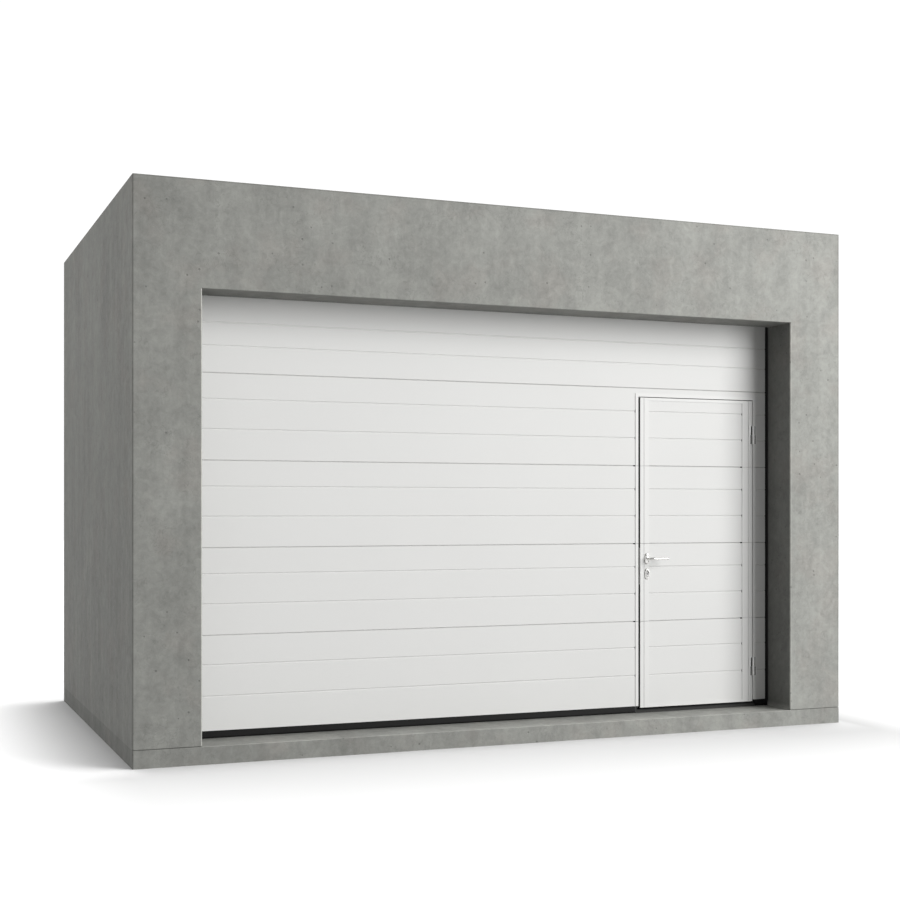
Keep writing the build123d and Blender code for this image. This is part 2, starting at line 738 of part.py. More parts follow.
def spring(centre):
    """Torsion spring with its cones, as one tube right of the middle bearing."""
    start = bearing_plate_wall / 2
    bore = centre * Circle(shaft_radius + running_clearance)
    return lengthwise(centre * Circle(spring_radius) - bore, start, start + spring_length)


def drum(centre):
    """Cable drum with a flange at each side and a hub on the shaft."""
    bore = centre * Circle(shaft_radius + running_clearance)
    x0 = cable_x - drum_width / 2
    x1 = cable_x + drum_width / 2
    solid = lengthwise(centre * Circle(drum_radius) - bore, x0, x1)
    rim = centre * Circle(drum_radius + drum_flange_height) - centre * Circle(drum_radius)
    solid += lengthwise(rim, x0, x0 + drum_flange_width)
    solid += lengthwise(rim, x1 - drum_flange_width, x1)
    solid += lengthwise(centre * Circle(drum_hub_radius) - bore, x1 - drum_hub_width, x0)
    return solid


os.makedirs("parts", exist_ok=True)
housing()
curtain()
wicket_frame()
leaf()
leaf_hinges()
lock_furniture()
lever()
seals()
side_frames()
tracks()
rollers()
brackets()
counterbalance()
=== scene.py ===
"""Looks of a sectional garage door with a wicket door, set in a concrete portal garage.

Every length is in metres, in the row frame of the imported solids: +X runs right along the
front, +Y into the building and +Z up, with the origin in the middle of the footprint.
"""

import json
import logging
import math
from collections.abc import Callable
from dataclasses import dataclass, field
from enum import Enum

import bpy
from mathutils import Euler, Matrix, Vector


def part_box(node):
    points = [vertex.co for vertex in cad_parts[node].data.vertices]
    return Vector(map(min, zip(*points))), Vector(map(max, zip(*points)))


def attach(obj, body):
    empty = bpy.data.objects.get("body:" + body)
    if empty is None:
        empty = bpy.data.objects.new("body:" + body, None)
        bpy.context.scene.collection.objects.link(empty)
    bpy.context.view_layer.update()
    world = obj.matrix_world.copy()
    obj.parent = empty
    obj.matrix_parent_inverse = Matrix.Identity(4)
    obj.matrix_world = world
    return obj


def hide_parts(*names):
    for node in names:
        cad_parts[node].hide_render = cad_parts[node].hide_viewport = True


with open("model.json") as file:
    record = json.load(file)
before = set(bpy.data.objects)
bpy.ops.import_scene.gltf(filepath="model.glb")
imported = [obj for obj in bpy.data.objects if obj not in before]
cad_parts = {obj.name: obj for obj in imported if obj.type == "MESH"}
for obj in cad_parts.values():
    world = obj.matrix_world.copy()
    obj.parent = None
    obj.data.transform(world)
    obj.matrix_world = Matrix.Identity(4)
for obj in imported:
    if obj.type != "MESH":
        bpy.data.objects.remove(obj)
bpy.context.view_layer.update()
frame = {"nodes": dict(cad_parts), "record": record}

# The building and its opening.
HALF_WIDTH = 2.310
HALF_DEPTH = 1.5075
HEIGHT = 3.225
OPENING_HALF = 1.930
SILL = 0.100
SOFFIT = 2.625

# Planes of the curtain, and the axes of lever and lock.
PANEL_FACE = -1.2405
PROFILE_FACE = -1.2435
LEAF_MIDDLE = -1.2205
LOCK_X = 1.013
LEVER_Z = 1.091

# How exactly a place or direction has to match, what full rounding leaves of an edge, and
# how close doubles lie.
NEAR = 0.0002
VERY_NEAR = 1e-5
ALONG = 0.9
BEVEL_GAP = 5e-5
MERGE = 1e-6

# Sharpest angles, in degrees, that are shaded smooth.
CRISP_DEG = 30
ROUND_DEG = 40
COIL_DEG = 45

log = logging.getLogger("garage_door")

Colour = tuple[float, float, float]
Point = tuple[float, float, float]
Span = tuple[float, float]
Test = Callable[[Vector, Vector], bool]
Material = bpy.types.Material
Socket = bpy.types.NodeSocket


class Slot(Enum):
    """Material slots of the record."""

    CONCRETE = "concrete"
    DOOR_PANEL = "door_panel"
    DOOR_PROFILE = "door_profile"
    SEAL = "seal"
    THRESHOLD = "threshold_metal"
    GALVANISED = "galvanised"
    SPRING_STEEL = "spring_steel"
    POLISHED = "polished_fitting"
    HINGE = "hinge_metal"


class Body(Enum):
    """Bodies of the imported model, which pieces ride on."""

    ROOT = "root"
    LEAF = "leaf"
    LEVER = "lever"


class Kind(Enum):
    """What an edit works on."""

    VERT = "vertices"
    EDGE = "edges"
    FACE = "polygons"


class Signal:
    """Output socket of a material node, which Python's operators join through Math nodes."""

    def __init__(self, board: "Board", socket: Socket) -> None:
        """Wrap one socket of a board."""
        self.board = board
        self.socket = socket

    def __add__(self, other: "Signal | float") -> "Signal":
        """Sum."""
        return self.board.maths("ADD", self, other)

    def __radd__(self, other: float) -> "Signal":
        """Sum with a number on the left."""
        return self.board.maths("ADD", other, self)

    def __sub__(self, other: "Signal | float") -> "Signal":
        """Difference."""
        return self.board.maths("SUBTRACT", self, other)

    def __rsub__(self, other: float) -> "Signal":
        """Difference with a number on the left."""
        return self.board.maths("SUBTRACT", other, self)

    def __mul__(self, other: "Signal | float") -> "Signal":
        """Product."""
        return self.board.maths("MULTIPLY", self, other)

    def __truediv__(self, other: "Signal | float") -> "Signal":
        """Quotient."""
        return self.board.maths("DIVIDE", self, other)

    def __abs__(self) -> "Signal":
        """Absolute value."""
        return self.board.maths("ABSOLUTE", self)


class Board:
    """Node tree that is filled from nothing, with the coordinates that its patterns read."""

    def __init__(self, tree: bpy.types.NodeTree, coordinates: str) -> None:
        """Clear the tree and add its coordinates."""
        self.tree = tree
        self.tree.nodes.clear()
        self.place = self.node("ShaderNodeTexCoord").outputs[coordinates]

    def node(self, kind: str, settings: dict | None = None,
             sockets: dict | None = None) -> bpy.types.Node:
        """Add a node.

        Args:
            kind: The node's type name.
            settings: Its properties by name.
            sockets: Values or links of its input sockets, by name or number.

        Returns:
            The new node.
        """
        made = self.tree.nodes.new(kind)
        for key, value in (settings or {}).items():
            setattr(made, key, value)
        for key, value in (sockets or {}).items():
            self.feed(made.inputs[key], value)
        return made

    def feed(self, socket: Socket, value: object) -> None:
        """Link a signal or socket to an input, or set the input to a plain value.

        Args:
            socket: The input.
            value: A signal, a socket, a number, a vector or a colour.
        """
        if isinstance(value, Signal):
            self.tree.links.new(value.socket, socket)
        elif isinstance(value, Socket):
            self.tree.links.new(value, socket)
        elif isinstance(value, tuple) and len(value) == 3 and socket.type == "RGBA":
            socket.default_value = (*value, 1)
        else:
            socket.default_value = value

    def maths(self, operation: str, *terms: "Signal | float") -> Signal:
        """Join up to three numbers or signals by one Math node."""
        made = self.node("ShaderNodeMath", {"operation": operation}, dict(enumerate(terms)))
        return Signal(self, made.outputs[0])

    def axes(self) -> tuple[Signal, Signal, Signal]:
        """The three coordinates of the shaded point, in metres."""
        parts = self.node("ShaderNodeSeparateXYZ", sockets={0: self.place})
        return tuple(Signal(self, socket) for socket in parts.outputs)

    def noise(self, scale: float, detail: float, roughness: float,
              stretch: Point | None = None, distortion: float = 0) -> Signal:
        """Cloudy noise.

        Args:
            scale: Cells a metre.
            detail: Number of finer layers.
            roughness: Strength of the finer layers.
            stretch: Scale of the coordinates by axis, for a pattern with a direction.
            distortion: How strongly it swirls.

        Returns:
            A signal from 0 to 1, with 0.5 as its middle.
        """
        place = self.place
        if stretch:
            sockets = {"Vector": place, "Scale": stretch}
            place = self.node("ShaderNodeMapping", sockets=sockets).outputs[0]
        sockets = {"Vector": place, "Scale": scale, "Detail": detail, "Roughness": roughness,
                   "Distortion": distortion}
        made = self.node("ShaderNodeTexNoise", {"noise_dimensions": "3D"}, sockets)
        return Signal(self, made.outputs["Fac"])

    def rise(self, value: Signal, low: float, high: float) -> Signal:
        """Smooth step of a signal from 0 at low to 1 at high."""
        sockets = {"Value": value, "From Min": low, "From Max": high}
        made = self.node("ShaderNodeMapRange", {"interpolation_type": "SMOOTHSTEP"}, sockets)
        return Signal(self, made.outputs["Result"])

    def band(self, value: Signal, start: Span, end: Span) -> Signal:
        """Signal that rises to 1 over the start's span and falls to 0 over the end's."""
        return self.rise(value, *start) * (1 - self.rise(value, *end))

    def cells(self, scale: float) -> tuple[Signal, Signal]:
        """Random number of each cell, so many of them a metre, and the way to its middle."""
        sockets = {"Vector": self.place, "Scale": scale}
        made = self.node("ShaderNodeTexVoronoi", {"feature": "F1"}, sockets)
        split = self.node("ShaderNodeSeparateColor", sockets={0: made.outputs["Color"]})
        return Signal(self, split.outputs[0]), Signal(self, made.outputs["Distance"])

    def dots(self, scale: float, radius: float, share: float) -> Signal:
        """Scattered round dots with a soft edge.

        Args:
            scale: Cells a metre, one dot at most in each.
            radius: Radius of a dot, as a share of its cell.
            share: Share of the cells that hold a dot.

        Returns:
            A signal that is 1 inside the dots and 0 between them.
        """
        core, blur = 0.65, 0.01
        draw, away = self.cells(scale)
        inside = 1 - self.rise(away, radius * core, radius)
        return inside * self.rise(draw, 1 - share - blur, 1 - share)

    def blend(self, factor: Signal | float, first: object, second: object,
              kind: str = "MIX") -> Socket:
        """Mix two colours by a factor."""
        settings = {"data_type": "RGBA", "blend_type": kind, "clamp_factor": True}
        return self.node("ShaderNodeMix", settings, {0: factor, 6: first, 7: second}).outputs[2]

    def shaded(self, colour: object, shade: Signal) -> Socket:
        """A colour times a signal that lies about 1."""
        grey = self.node("ShaderNodeCombineColor", sockets={0: shade, 1: shade, 2: shade})
        return self.blend(1.0, colour, grey.outputs[0], "MULTIPLY")


class Paint(Board):
    """Material with a Principled shader."""

    def __init__(self, name: str) -> None:
        """Start an empty material of that name."""
        self.material = bpy.data.materials.new(name)
        self.material.use_nodes = True
        super().__init__(self.material.node_tree, "Object")
        self.shader = self.node("ShaderNodeBsdfPrincipled")
        self.node("ShaderNodeOutputMaterial", sockets={"Surface": self.shader.outputs["BSDF"]})

    def bump(self, height: Signal, distance: float) -> None:
        """Feed a height signal, as a share of a distance, to the shader's normal."""
        made = self.node("ShaderNodeBump", sockets={"Height": height, "Distance": distance})
        self.feed(self.shader.inputs["Normal"], made.outputs[0])

    def coat(self, **values: object) -> Material:
        """Set the shader's sockets, named with underscores for spaces, and return the material."""
        for key, value in values.items():
            self.feed(self.shader.inputs[key.replace("_", " ")], value)
        return self.material


@dataclass(frozen=True)
class CastConcrete:
    """Smooth formed concrete: clouds, bands that ran down, mottling, worm marks, air pores."""

    tone: Colour = (0.292, 0.295, 0.274)
    warm_tone: Colour = (0.299, 0.294, 0.272)
    cloud_contrast: float = 0.46
    patch_contrast: float = 0.62
    mottle_contrast: float = 0.58
    band_contrast: float = 0.50
    grain_contrast: float = 0.28
    bloom_gain: float = 0.07
    pore_loss: float = 0.26
    pinhole_loss: float = 0.25
    worm_loss: float = 0.13
    pit_loss: float = 0.13
    # Painted shade: a dark line along the outer arrises.
    painted_arris_shade: float = 0.30
    arris_edge: Span = (0.0035, 0.0105)
    # Painted shade on the outer sides, darker towards the ground.
    painted_foot_shade: float = 0.20
    side_edge: Span = (HALF_WIDTH - 0.004, HALF_WIDTH - 0.001)
    # Spans and strengths of the painted shade in the recess of the opening.
    front_edge: Span = (0.007, 0.016)
    portal_edge: Span = (0.262, 0.266)
    jamb_edge: Span = (OPENING_HALF + 0.001, OPENING_HALF + 0.005)
    foot_edge: Span = (SILL + 0.001, SILL + 0.040)
    soffit_edge: Span = (SOFFIT - 0.004, SOFFIT - 0.001)
    lintel_edge: Span = (SOFFIT + 0.001, SOFFIT + 0.005)
    seal_edge: Span = (0.248, 0.256)
    reveal_shade: float = 0.52
    soffit_shade: float = 0.36
    seal_corner_shade: float = 0.95
    # Darker slab, with painted shade on its top behind the front edge.
    slab_edge: Span = (SILL + 0.001, SILL + 0.003)
    sill_edge: Span = (0.004, 0.016)
    slab_loss: float = 0.06
    painted_sill_shade: float = 0.12
    # Painted highlight along the upright arrises of the opening.
    highlight_edge: Span = (0.0056, 0.0070)
    highlight_start: Span = (SILL, SILL + 0.01)
    highlight_end: Span = (SOFFIT - 0.01, SOFFIT)
    painted_highlight_gain: float = 0.7
    # Painted light: the concrete grows lighter towards the right.
    painted_right_light: float = 0.06
    relief: float = 0.0012
    roughness: float = 0.80

    def make(self) -> Material:
        """Build the material."""
        board = Paint("cast_concrete")
        patches = board.noise(7, 6, 0.68, distortion=0.8) - 0.5
        grain = board.noise(260, 2, 0.7) - 0.5
        pores = board.dots(17, 0.12, 0.28)
        pinholes = board.dots(64, 0.10, 0.35)
        gains = (
            (board.noise(1.6, 5, 0.62, (1, 1, 0.6), 0.4) - 0.5, self.cloud_contrast),
            (patches, self.patch_contrast),
            (board.noise(24, 4, 0.7, distortion=0.5) - 0.5, self.mottle_contrast),
            (board.noise(1, 5, 0.65, (7, 7, 0.9)) - 0.5, self.band_contrast),
            (grain, self.grain_contrast),
            (board.rise(board.noise(2.6, 6, 0.7, (1.6, 1.6, 0.7)), 0.54, 0.70), self.bloom_gain),
        )
        losses = (
            (pores, self.pore_loss),
            (pinholes, self.pinhole_loss),
            (self._worms(board), self.worm_loss),
            (self._pits(board), self.pit_loss),
            # Painted shade line along the outer arrises.
            (self._arris(board), self.painted_arris_shade),
            # Painted shade low on the outer sides.
            (self._foot_shade(board), self.painted_foot_shade),
        )
        shade = sum((pattern * gain for pattern, gain in gains), 1)
        for pattern, loss in losses:
            shade = shade * (1 - pattern * loss)
        x, _, _ = board.axes()
        # Painted shade in the recess; on the slab, a darker tone and painted shade on its top.
        shade = shade * (1 - self._recess_shade(board)) * (1 - self._slab(board))
        # Painted highlight on the upright arrises of the opening.
        shade = shade * (1 + self._arris_highlight(board) * self.painted_highlight_gain)
        # Painted light, lighter towards the right.
        shade = shade * (1 + x * (self.painted_right_light / HALF_WIDTH))
        warmth = board.rise(board.noise(3.4, 4, 0.6), 0.48, 0.66)
        colour = board.shaded(board.blend(warmth, self.tone, self.warm_tone), shade)
        height = grain * 0.25 + patches * 0.4 - pores * 1.6 - pinholes * 0.7
        board.bump(height, self.relief)
        return board.coat(Base_Color=colour, Roughness=self.roughness + patches * 0.16)

    @staticmethod
    def _worms(board: Board) -> Signal:
        """1 along short winding marks, which stand in groups."""
        winding = board.noise(11, 3, 0.65, distortion=1.4)
        line = 1 - board.rise(abs(winding - 0.5), 0.004, 0.022)
        return line * board.rise(board.noise(4, 3, 0.6), 0.50, 0.60)

    @staticmethod
    def _pits(board: Board) -> Signal:
        """1 in shallow ragged pits, which stand in groups."""
        ragged = board.noise(38, 3, 0.6, (1, 1, 0.6), 1.0)
        return board.rise(ragged, 0.58, 0.66) * board.rise(board.noise(5, 3, 0.6), 0.49, 0.62)

    def _arris(self, board: Board) -> Signal:
        """1 along the outer arrises of the building, where two of its faces meet, for a painted
        dark shade line there.
        """
        x, y, z = board.axes()
        beside, behind, above = HALF_WIDTH - abs(x), HALF_DEPTH - abs(y), HEIGHT - z
        nearest = board.maths("MINIMUM", beside, board.maths("MINIMUM", behind, above))
        farthest = board.maths("MAXIMUM", beside, board.maths("MAXIMUM", behind, above))
        middle = beside + behind + above - nearest - farthest
        return 1 - board.rise(middle, *self.arris_edge)

    def _foot_shade(self, board: Board) -> Signal:
        """1 low on the outer sides and less higher up: painted shade that darkens them towards the
        ground.
        """
        x, _, z = board.axes()
        return board.rise(abs(x), *self.side_edge) * (1 - board.rise(z, SILL, HEIGHT))

    def _recess_shade(self, board: Board) -> Signal:
        """Painted shade in the recess: on the reveals and the soffit, darkest in the corner beside
        the seal.
        """
        x, y, z = board.axes()
        behind = y + HALF_DEPTH
        deep = board.band(behind, self.front_edge, self.portal_edge)
        within = 1 - board.rise(abs(x), *self.jamb_edge)
        between = board.band(z, self.foot_edge, self.lintel_edge)
        under = board.rise(z, *self.soffit_edge)
        beside_seal = board.rise(behind, *self.seal_edge) * (1 - under)
        loss = self.reveal_shade - under * (self.reveal_shade - self.soffit_shade)
        loss = loss + beside_seal * (self.seal_corner_shade - self.reveal_shade)
        return deep * within * between * loss

    def _slab(self, board: Board) -> Signal:
        """Darker tone on the slab, and painted shade on its top behind the front edge, as in the
        recess.
        """
        _, y, z = board.axes()
        low = 1 - board.rise(z, *self.slab_edge)
        deep = board.rise(y + HALF_DEPTH, *self.sill_edge)
        return low * (self.slab_loss + deep * self.painted_sill_shade)

    def _arris_highlight(self, board: Board) -> Signal:
        """1 on the upright arrises of the opening, for a painted highlight where light catches
        them.
        """
        x, y, z = board.axes()
        corner = board.maths("MAXIMUM", abs(abs(x) - OPENING_HALF), y + HALF_DEPTH)
        upright = board.band(z, self.highlight_start, self.highlight_end)
        return upright * (1 - board.rise(corner, *self.highlight_edge))


@dataclass(frozen=True)
class PowderCoat:
    """White powder coat with fine orange peel, on steel skins or aluminium profiles."""

    name: str
    tone: Colour
    roughness: float = 0.55
    waviness: float = 0.0003
    peel: float = 0.06
    drift_contrast: float = 0.030
    dust_contrast: float = 0.022
    # Painted shade: the coat grows darker towards the right, over this half width.
    shade_half_width: float = 1.9
    painted_right_shade: float = 0.105
    face_y: float = PANEL_FACE
    # Painted shade in the grooves of ribs, seams and profiles.
    painted_groove_shade: float = 0.16
    groove_depth: Span = (0.0006, 0.0060)
    groove_floor: Span = (0.008, 0.012)
    gloss: float = 0.28

    def make(self) -> Material:
        """Build the material."""
        board = Paint(self.name)
        drift = board.noise(2.2, 3, 0.5) - 0.5
        dust = board.noise(34, 5, 0.7, (1, 1, 3)) - 0.5
        x, y, _ = board.axes()
        shade = 1 + drift * self.drift_contrast + dust * self.dust_contrast
        # Painted shade, darker towards the right.
        shade = shade - x * (self.painted_right_shade / self.shade_half_width)
        # Painted shade in the grooves behind the face.
        groove = board.band(y - self.face_y, self.groove_depth, self.groove_floor)
        shade = shade * (1 - groove * self.painted_groove_shade)
        waves = board.noise(5, 1, 0.4, (0.35, 1, 1))
        board.bump(board.noise(900, 1, 0.5) * self.peel + waves, self.waviness)
        return board.coat(Base_Color=board.shaded(self.tone, shade),
                          Roughness=self.roughness + dust * 0.10, Specular_IOR_Level=self.gloss)


@dataclass(frozen=True)
class Metal:
    """Bare metal with drifting tone and fine scratches along one axis."""

    name: str
    tone: Colour
    roughness: float
    scratch_scale: Point
    contrast: float
    metallic: float = 1.0
    relief: float = 0.00002

    def make(self) -> Material:
        """Build the material."""
        board = Paint(self.name)
        scratches = board.noise(1, 3, 0.6, self.scratch_scale) - 0.5
        drift = board.noise(18, 3, 0.55) - 0.5
        shade = 1 + drift * self.contrast + scratches * self.contrast
        board.bump(scratches, self.relief)
        rough = self.roughness + scratches * 0.10 + drift * 0.06
        return board.coat(Base_Color=board.shaded(self.tone, shade), Roughness=rough,
                          Metallic=self.metallic)


@dataclass(frozen=True)
class ZincSpangle:
    """Hot-dip galvanised steel with crystal spangle."""

    tone: Colour = (0.47, 0.49, 0.50)
    spangles: float = 70
    roughness: float = 0.34
    metallic: float = 0.92

    def make(self) -> Material:
        """Build the material."""
        board = Paint("zinc_spangle")
        draw, _ = board.cells(self.spangles)
        bloom = board.noise(9, 4, 0.6) - 0.5
        shade = 0.86 + draw * 0.22 + bloom * 0.20
        rough = self.roughness + draw * 0.16 + bloom * 0.12
        return board.coat(Base_Color=board.shaded(self.tone, shade), Roughness=rough,
                          Metallic=self.metallic)


@dataclass(frozen=True)
class Rubber:
    """Black sealing rubber with a matt, faintly dusty skin."""

    tone: Colour = (0.007, 0.007, 0.0068)
    dust_tone: Colour = (0.032, 0.031, 0.030)
    dust_share: float = 0.3
    relief: float = 0.00012
    roughness: float = 0.62
    gloss: float = 0.25

    def make(self) -> Material:
        """Build the material."""
        board = Paint("black_rubber")
        dust = board.rise(board.noise(26, 5, 0.7), 0.45, 0.75)
        colour = board.blend(dust * self.dust_share, self.tone, self.dust_tone)
        board.bump(board.noise(700, 2, 0.6), self.relief)
        return board.coat(Base_Color=colour, Roughness=self.roughness + dust * 0.2,
                          Specular_IOR_Level=self.gloss)


@dataclass(frozen=True)
class StudioFloor:
    """Plain pale floor of the studio, with a painted contact shadow before the building and along
    its right side.
    """

    tone: Colour = (0.80, 0.80, 0.80)
    drift_tone: Colour = (0.79, 0.79, 0.79)
    drift_share: float = 0.2
    painted_shadow_depth: float = 0.475
    right_gain: float = 0.056
    reach: float = 5.0
    side_weight: float = 4.0
    foot_reach: float = 0.4
    foot_ease: float = 0.28
    left_edge: Span = (HALF_WIDTH - 0.1, HALF_WIDTH + 0.1)
    corner_edge: Span = (0.0, 0.3)
    back_edge: Span = (0.0, HALF_DEPTH + 0.7)
    roughness: float = 0.9

    def make(self) -> Material:
        """Build the material."""
        board = Paint("studio_floor")
        drift = board.noise(0.6, 2, 0.5) * self.drift_share
        base = board.blend(drift, self.tone, self.drift_tone)
        # Painted contact shadow on the floor.
        colour = board.shaded(base, 1 - self._contact_shadow(board) * self.painted_shadow_depth)
        return board.coat(Base_Color=colour, Roughness=self.roughness)

    def _contact_shadow(self, board: Board) -> Signal:
        """Painted contact shadow: about 1 near the foot of the front and right side, falling to 0
        at the reach.
        """
        x, y, _ = board.axes()
        beside = board.maths("MAXIMUM", abs(x) - HALF_WIDTH, 0) * self.side_weight
        ahead = board.maths("MAXIMUM", 0 - y - HALF_DEPTH, 0)
        away = board.maths("SQRT", beside * beside + ahead * ahead)
        close = board.maths("MAXIMUM", 1 - away / self.reach, 0)
        left = board.rise(0 - x, *self.left_edge) * (1 - board.rise(ahead, *self.corner_edge))
        back = board.rise(y, *self.back_edge)
        eased = 1 - (1 - board.rise(away, 0.0, self.foot_reach)) * self.foot_ease
        return close * close * eased * (1 - left) * (1 - back) * (1 + x * self.right_gain)


@dataclass
class Finishes:
    """All materials of the object, by the record's slot."""

    by_slot: dict[Slot, Material] = field(default_factory=dict)

    def mix_all(self) -> None:
        """Build every finish once."""
        finishes = {
            Slot.CONCRETE: CastConcrete(),
            Slot.DOOR_PANEL: PowderCoat("white_panel_coat", (0.764, 0.764, 0.75)),
            Slot.DOOR_PROFILE: PowderCoat(
                "white_profile_coat", (0.785, 0.785, 0.77), roughness=0.45, waviness=0.0001,
                face_y=PROFILE_FACE, painted_groove_shade=0.45, groove_depth=(0.0004, 0.0014),
                groove_floor=(0.0018, 0.0028)),
            Slot.SEAL: Rubber(),
            Slot.THRESHOLD: Metal(
                "dark_anodised", (0.024, 0.024, 0.023), 0.50, (900, 60, 60), 0.3, 0.3),
            Slot.GALVANISED: ZincSpangle(),
            Slot.SPRING_STEEL: Metal(
                "oiled_spring_steel", (0.11, 0.11, 0.115), 0.38, (60, 60, 60), 0.35),
            Slot.POLISHED: Metal(
                "polished_nickel", (0.62, 0.615, 0.60), 0.07, (90, 90, 90), 0.05),
            Slot.HINGE: Metal(
                "satin_hinge_metal", (0.70, 0.70, 0.69), 0.48, (300, 300, 40), 0.08, 0.25),
        }
        self.by_slot = {slot: finish.make() for slot, finish in finishes.items()}

    def dress_frame(self) -> None:
        """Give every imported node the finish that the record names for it."""
        for part in frame["record"]["subparts"]:
            node = frame["nodes"][part["node"]]
            node.data.materials.clear()
            node.data.materials.append(self.by_slot[Slot(part["material_slot"])])
            log.info("dressed %s in %s", part["node"], part["material_slot"])


def near(value: float, target: float, slack: float = NEAR) -> bool:
    """Whether a coordinate lies at a value."""
    return abs(value - target) < slack


def turn_to(facing: Point) -> Euler:
    """Turn that points the +Z axis in a direction."""
    return Vector(facing).to_track_quat("Z", "Y").to_euler()


def let_go() -> None:
    """Leave edit mode, with nothing selected."""
    if bpy.context.mode != "OBJECT":
        bpy.ops.object.mode_set(mode="OBJECT")
    bpy.ops.object.select_all(action="DESELECT")


class Workpiece:
    """One mesh under Blender's modelling tools, shaped in place in the row frame."""

    def __init__(self, name: str, shape: bpy.types.Object) -> None:
        """Take an object as the piece and name it."""
        self.shape = shape
        self.shape.name = name
        self.shape.data.name = name

    @classmethod
    def _added(cls, name: str, add: Callable, **settings: object) -> "Workpiece":
        """Add a primitive while nothing else is selected, and apply its placing.

        Args:
            name: Name of the piece.
            add: The operator that adds the primitive.
            settings: What the operator is given.

        Returns:
            The piece.
        """
        let_go()
        add(**settings)
        piece = cls(name, bpy.context.active_object)
        piece.settle()
        return piece

    @classmethod
    def brick(cls, name: str, centre: Point, size: Point) -> "Workpiece":
        """Box about a centre."""
        add = bpy.ops.mesh.primitive_cube_add
        return cls._added(name, add, size=1, location=centre, scale=size)

    @classmethod
    def block(cls, name: str, low: Point, high: Point) -> "Workpiece":
        """Box between two corners."""
        low, high = Vector(low), Vector(high)
        return cls.brick(name, (low + high) / 2, high - low)

    @classmethod
    def disc(cls, name: str, centre: Point, radius: float, facing: Point,
             sides: int = 32) -> "Workpiece":
        """Filled circle that faces a direction."""
        return cls._added(name, bpy.ops.mesh.primitive_circle_add, vertices=sides, radius=radius,
                          fill_type="NGON", location=centre, rotation=turn_to(facing))

    @classmethod
    def rod(cls, name: str, start: Point, radius: float, run: Point,
            sides: int = 32) -> "Workpiece":
        """Round bar.

        Args:
            name: Name of the piece.
            start: Middle of its first end.
            radius: Its radius.
            run: Way from there to its other end.
            sides: Number of its sides.

        Returns:
            The piece, closed.
        """
        piece = cls.disc(name, start, radius, Vector(run).normalized(), sides)
        piece.pick_all().extrude(run)
        return piece.clean(None)

    @staticmethod
    def gather(name: str, pieces: list["Workpiece"]) -> "Workpiece":
        """Join pieces into the first one, under a new name."""
        first, *others = pieces
        first.join(*others).shape.name = name
        return first

    def activate(self) -> None:
        """Leave edit mode and select this piece alone."""
        let_go()
        self.shape.select_set(True)
        bpy.context.view_layer.objects.active = self.shape

    def settle(self) -> None:
        """Apply the object's place, turn and scale to its mesh."""
        self.activate()
        bpy.ops.object.transform_apply(location=True, rotation=True, scale=True)

    def pick(self, kind: Kind, test: Test) -> "Workpiece":
        """Select by place and direction, and stay in edit mode.

        Args:
            kind: Corners, edges or faces.
            test: Takes the middle and the normal (of an edge: its direction), and says yes or no.

        Returns:
            The piece, for the next step.
        """
        self.activate()
        bpy.ops.object.mode_set(mode="EDIT")
        bpy.ops.mesh.select_mode(type=kind.name)
        bpy.ops.mesh.select_all(action="DESELECT")
        bpy.ops.object.mode_set(mode="OBJECT")
        mesh = self.shape.data
        parts = getattr(mesh, kind.value)
        chosen = [part for part in parts if test(*self._middle(mesh, kind, part))]
        if not chosen:
            raise ValueError(f"{self.shape.name}: nothing passes the test for {kind.value}")
        for part in chosen:
            part.select = True
        bpy.ops.object.mode_set(mode="EDIT")
        return self

    @staticmethod
    def _middle(mesh: bpy.types.Mesh, kind: Kind, part: object) -> tuple[Vector, Vector]:
        """Middle and direction of a corner, edge or face."""
        if kind is Kind.FACE:
            return part.center, part.normal
        if kind is Kind.VERT:
            return part.co, part.normal
        first, last = (mesh.vertices[index].co for index in part.vertices)
        return (first + last) / 2, (last - first).normalized()

    def pick_all(self) -> "Workpiece":
        """Select the whole mesh, and stay in edit mode."""
        return self.pick(Kind.FACE, lambda place, normal: True)

    def pick_along(self, axis: str) -> "Workpiece":
        """Select the edges that run along an axis."""
        return self.pick(Kind.EDGE, lambda place, way: abs(getattr(way, axis)) > ALONG)

    def pick_level(self, axis: str, level: float) -> "Workpiece":
        """Select the edges that lie at one level of an axis."""
        return self.pick(Kind.EDGE, lambda place, way: near(getattr(place, axis), level, VERY_NEAR))

    def extrude(self, move: Point) -> "Workpiece":
        """Extrude the selection along a vector."""
        bpy.ops.mesh.extrude_region_move(TRANSFORM_OT_translate={"value": move})
        return self

    def stretch(self, factors: Point, centre: Point) -> "Workpiece":
        """Scale the selection by axis about a point."""
        bpy.ops.transform.resize(value=factors, center_override=centre)
        return self

    def shift(self, move: Point) -> "Workpiece":
        """Move the selection."""
        bpy.ops.transform.translate(value=move)
        return self

    def bevel(self, width: float, steps: int = 2) -> "Workpiece":
        """Bevel the selected edges."""
        bpy.ops.mesh.bevel(offset=width, segments=steps, affect="EDGES")
        return self

    def spin(self, turn_deg: float, centre: Point, axis: Point, steps: int) -> "Workpiece":
        """Sweep the selection round an axis."""
        bpy.ops.mesh.spin(steps=steps, angle=math.radians(turn_deg), center=centre, axis=axis)
        return self

    def bisect(self, place: Point, normal: Point) -> "Workpiece":
        """Cut a line round the whole mesh in a plane."""
        self.pick_all()
        bpy.ops.mesh.bisect(plane_co=place, plane_no=normal)
        return self

    def modify(self, kind: str, **settings: object) -> "Workpiece":
        """Add a modifier and apply it.

        Args:
            kind: The modifier's type.
            settings: Its properties.

        Returns:
            The piece.
        """
        self.activate()
        modifier = self.shape.modifiers.new(kind.lower(), kind)
        for key, value in settings.items():
            setattr(modifier, key, value)
        bpy.ops.object.modifier_apply(modifier=modifier.name)
        return self

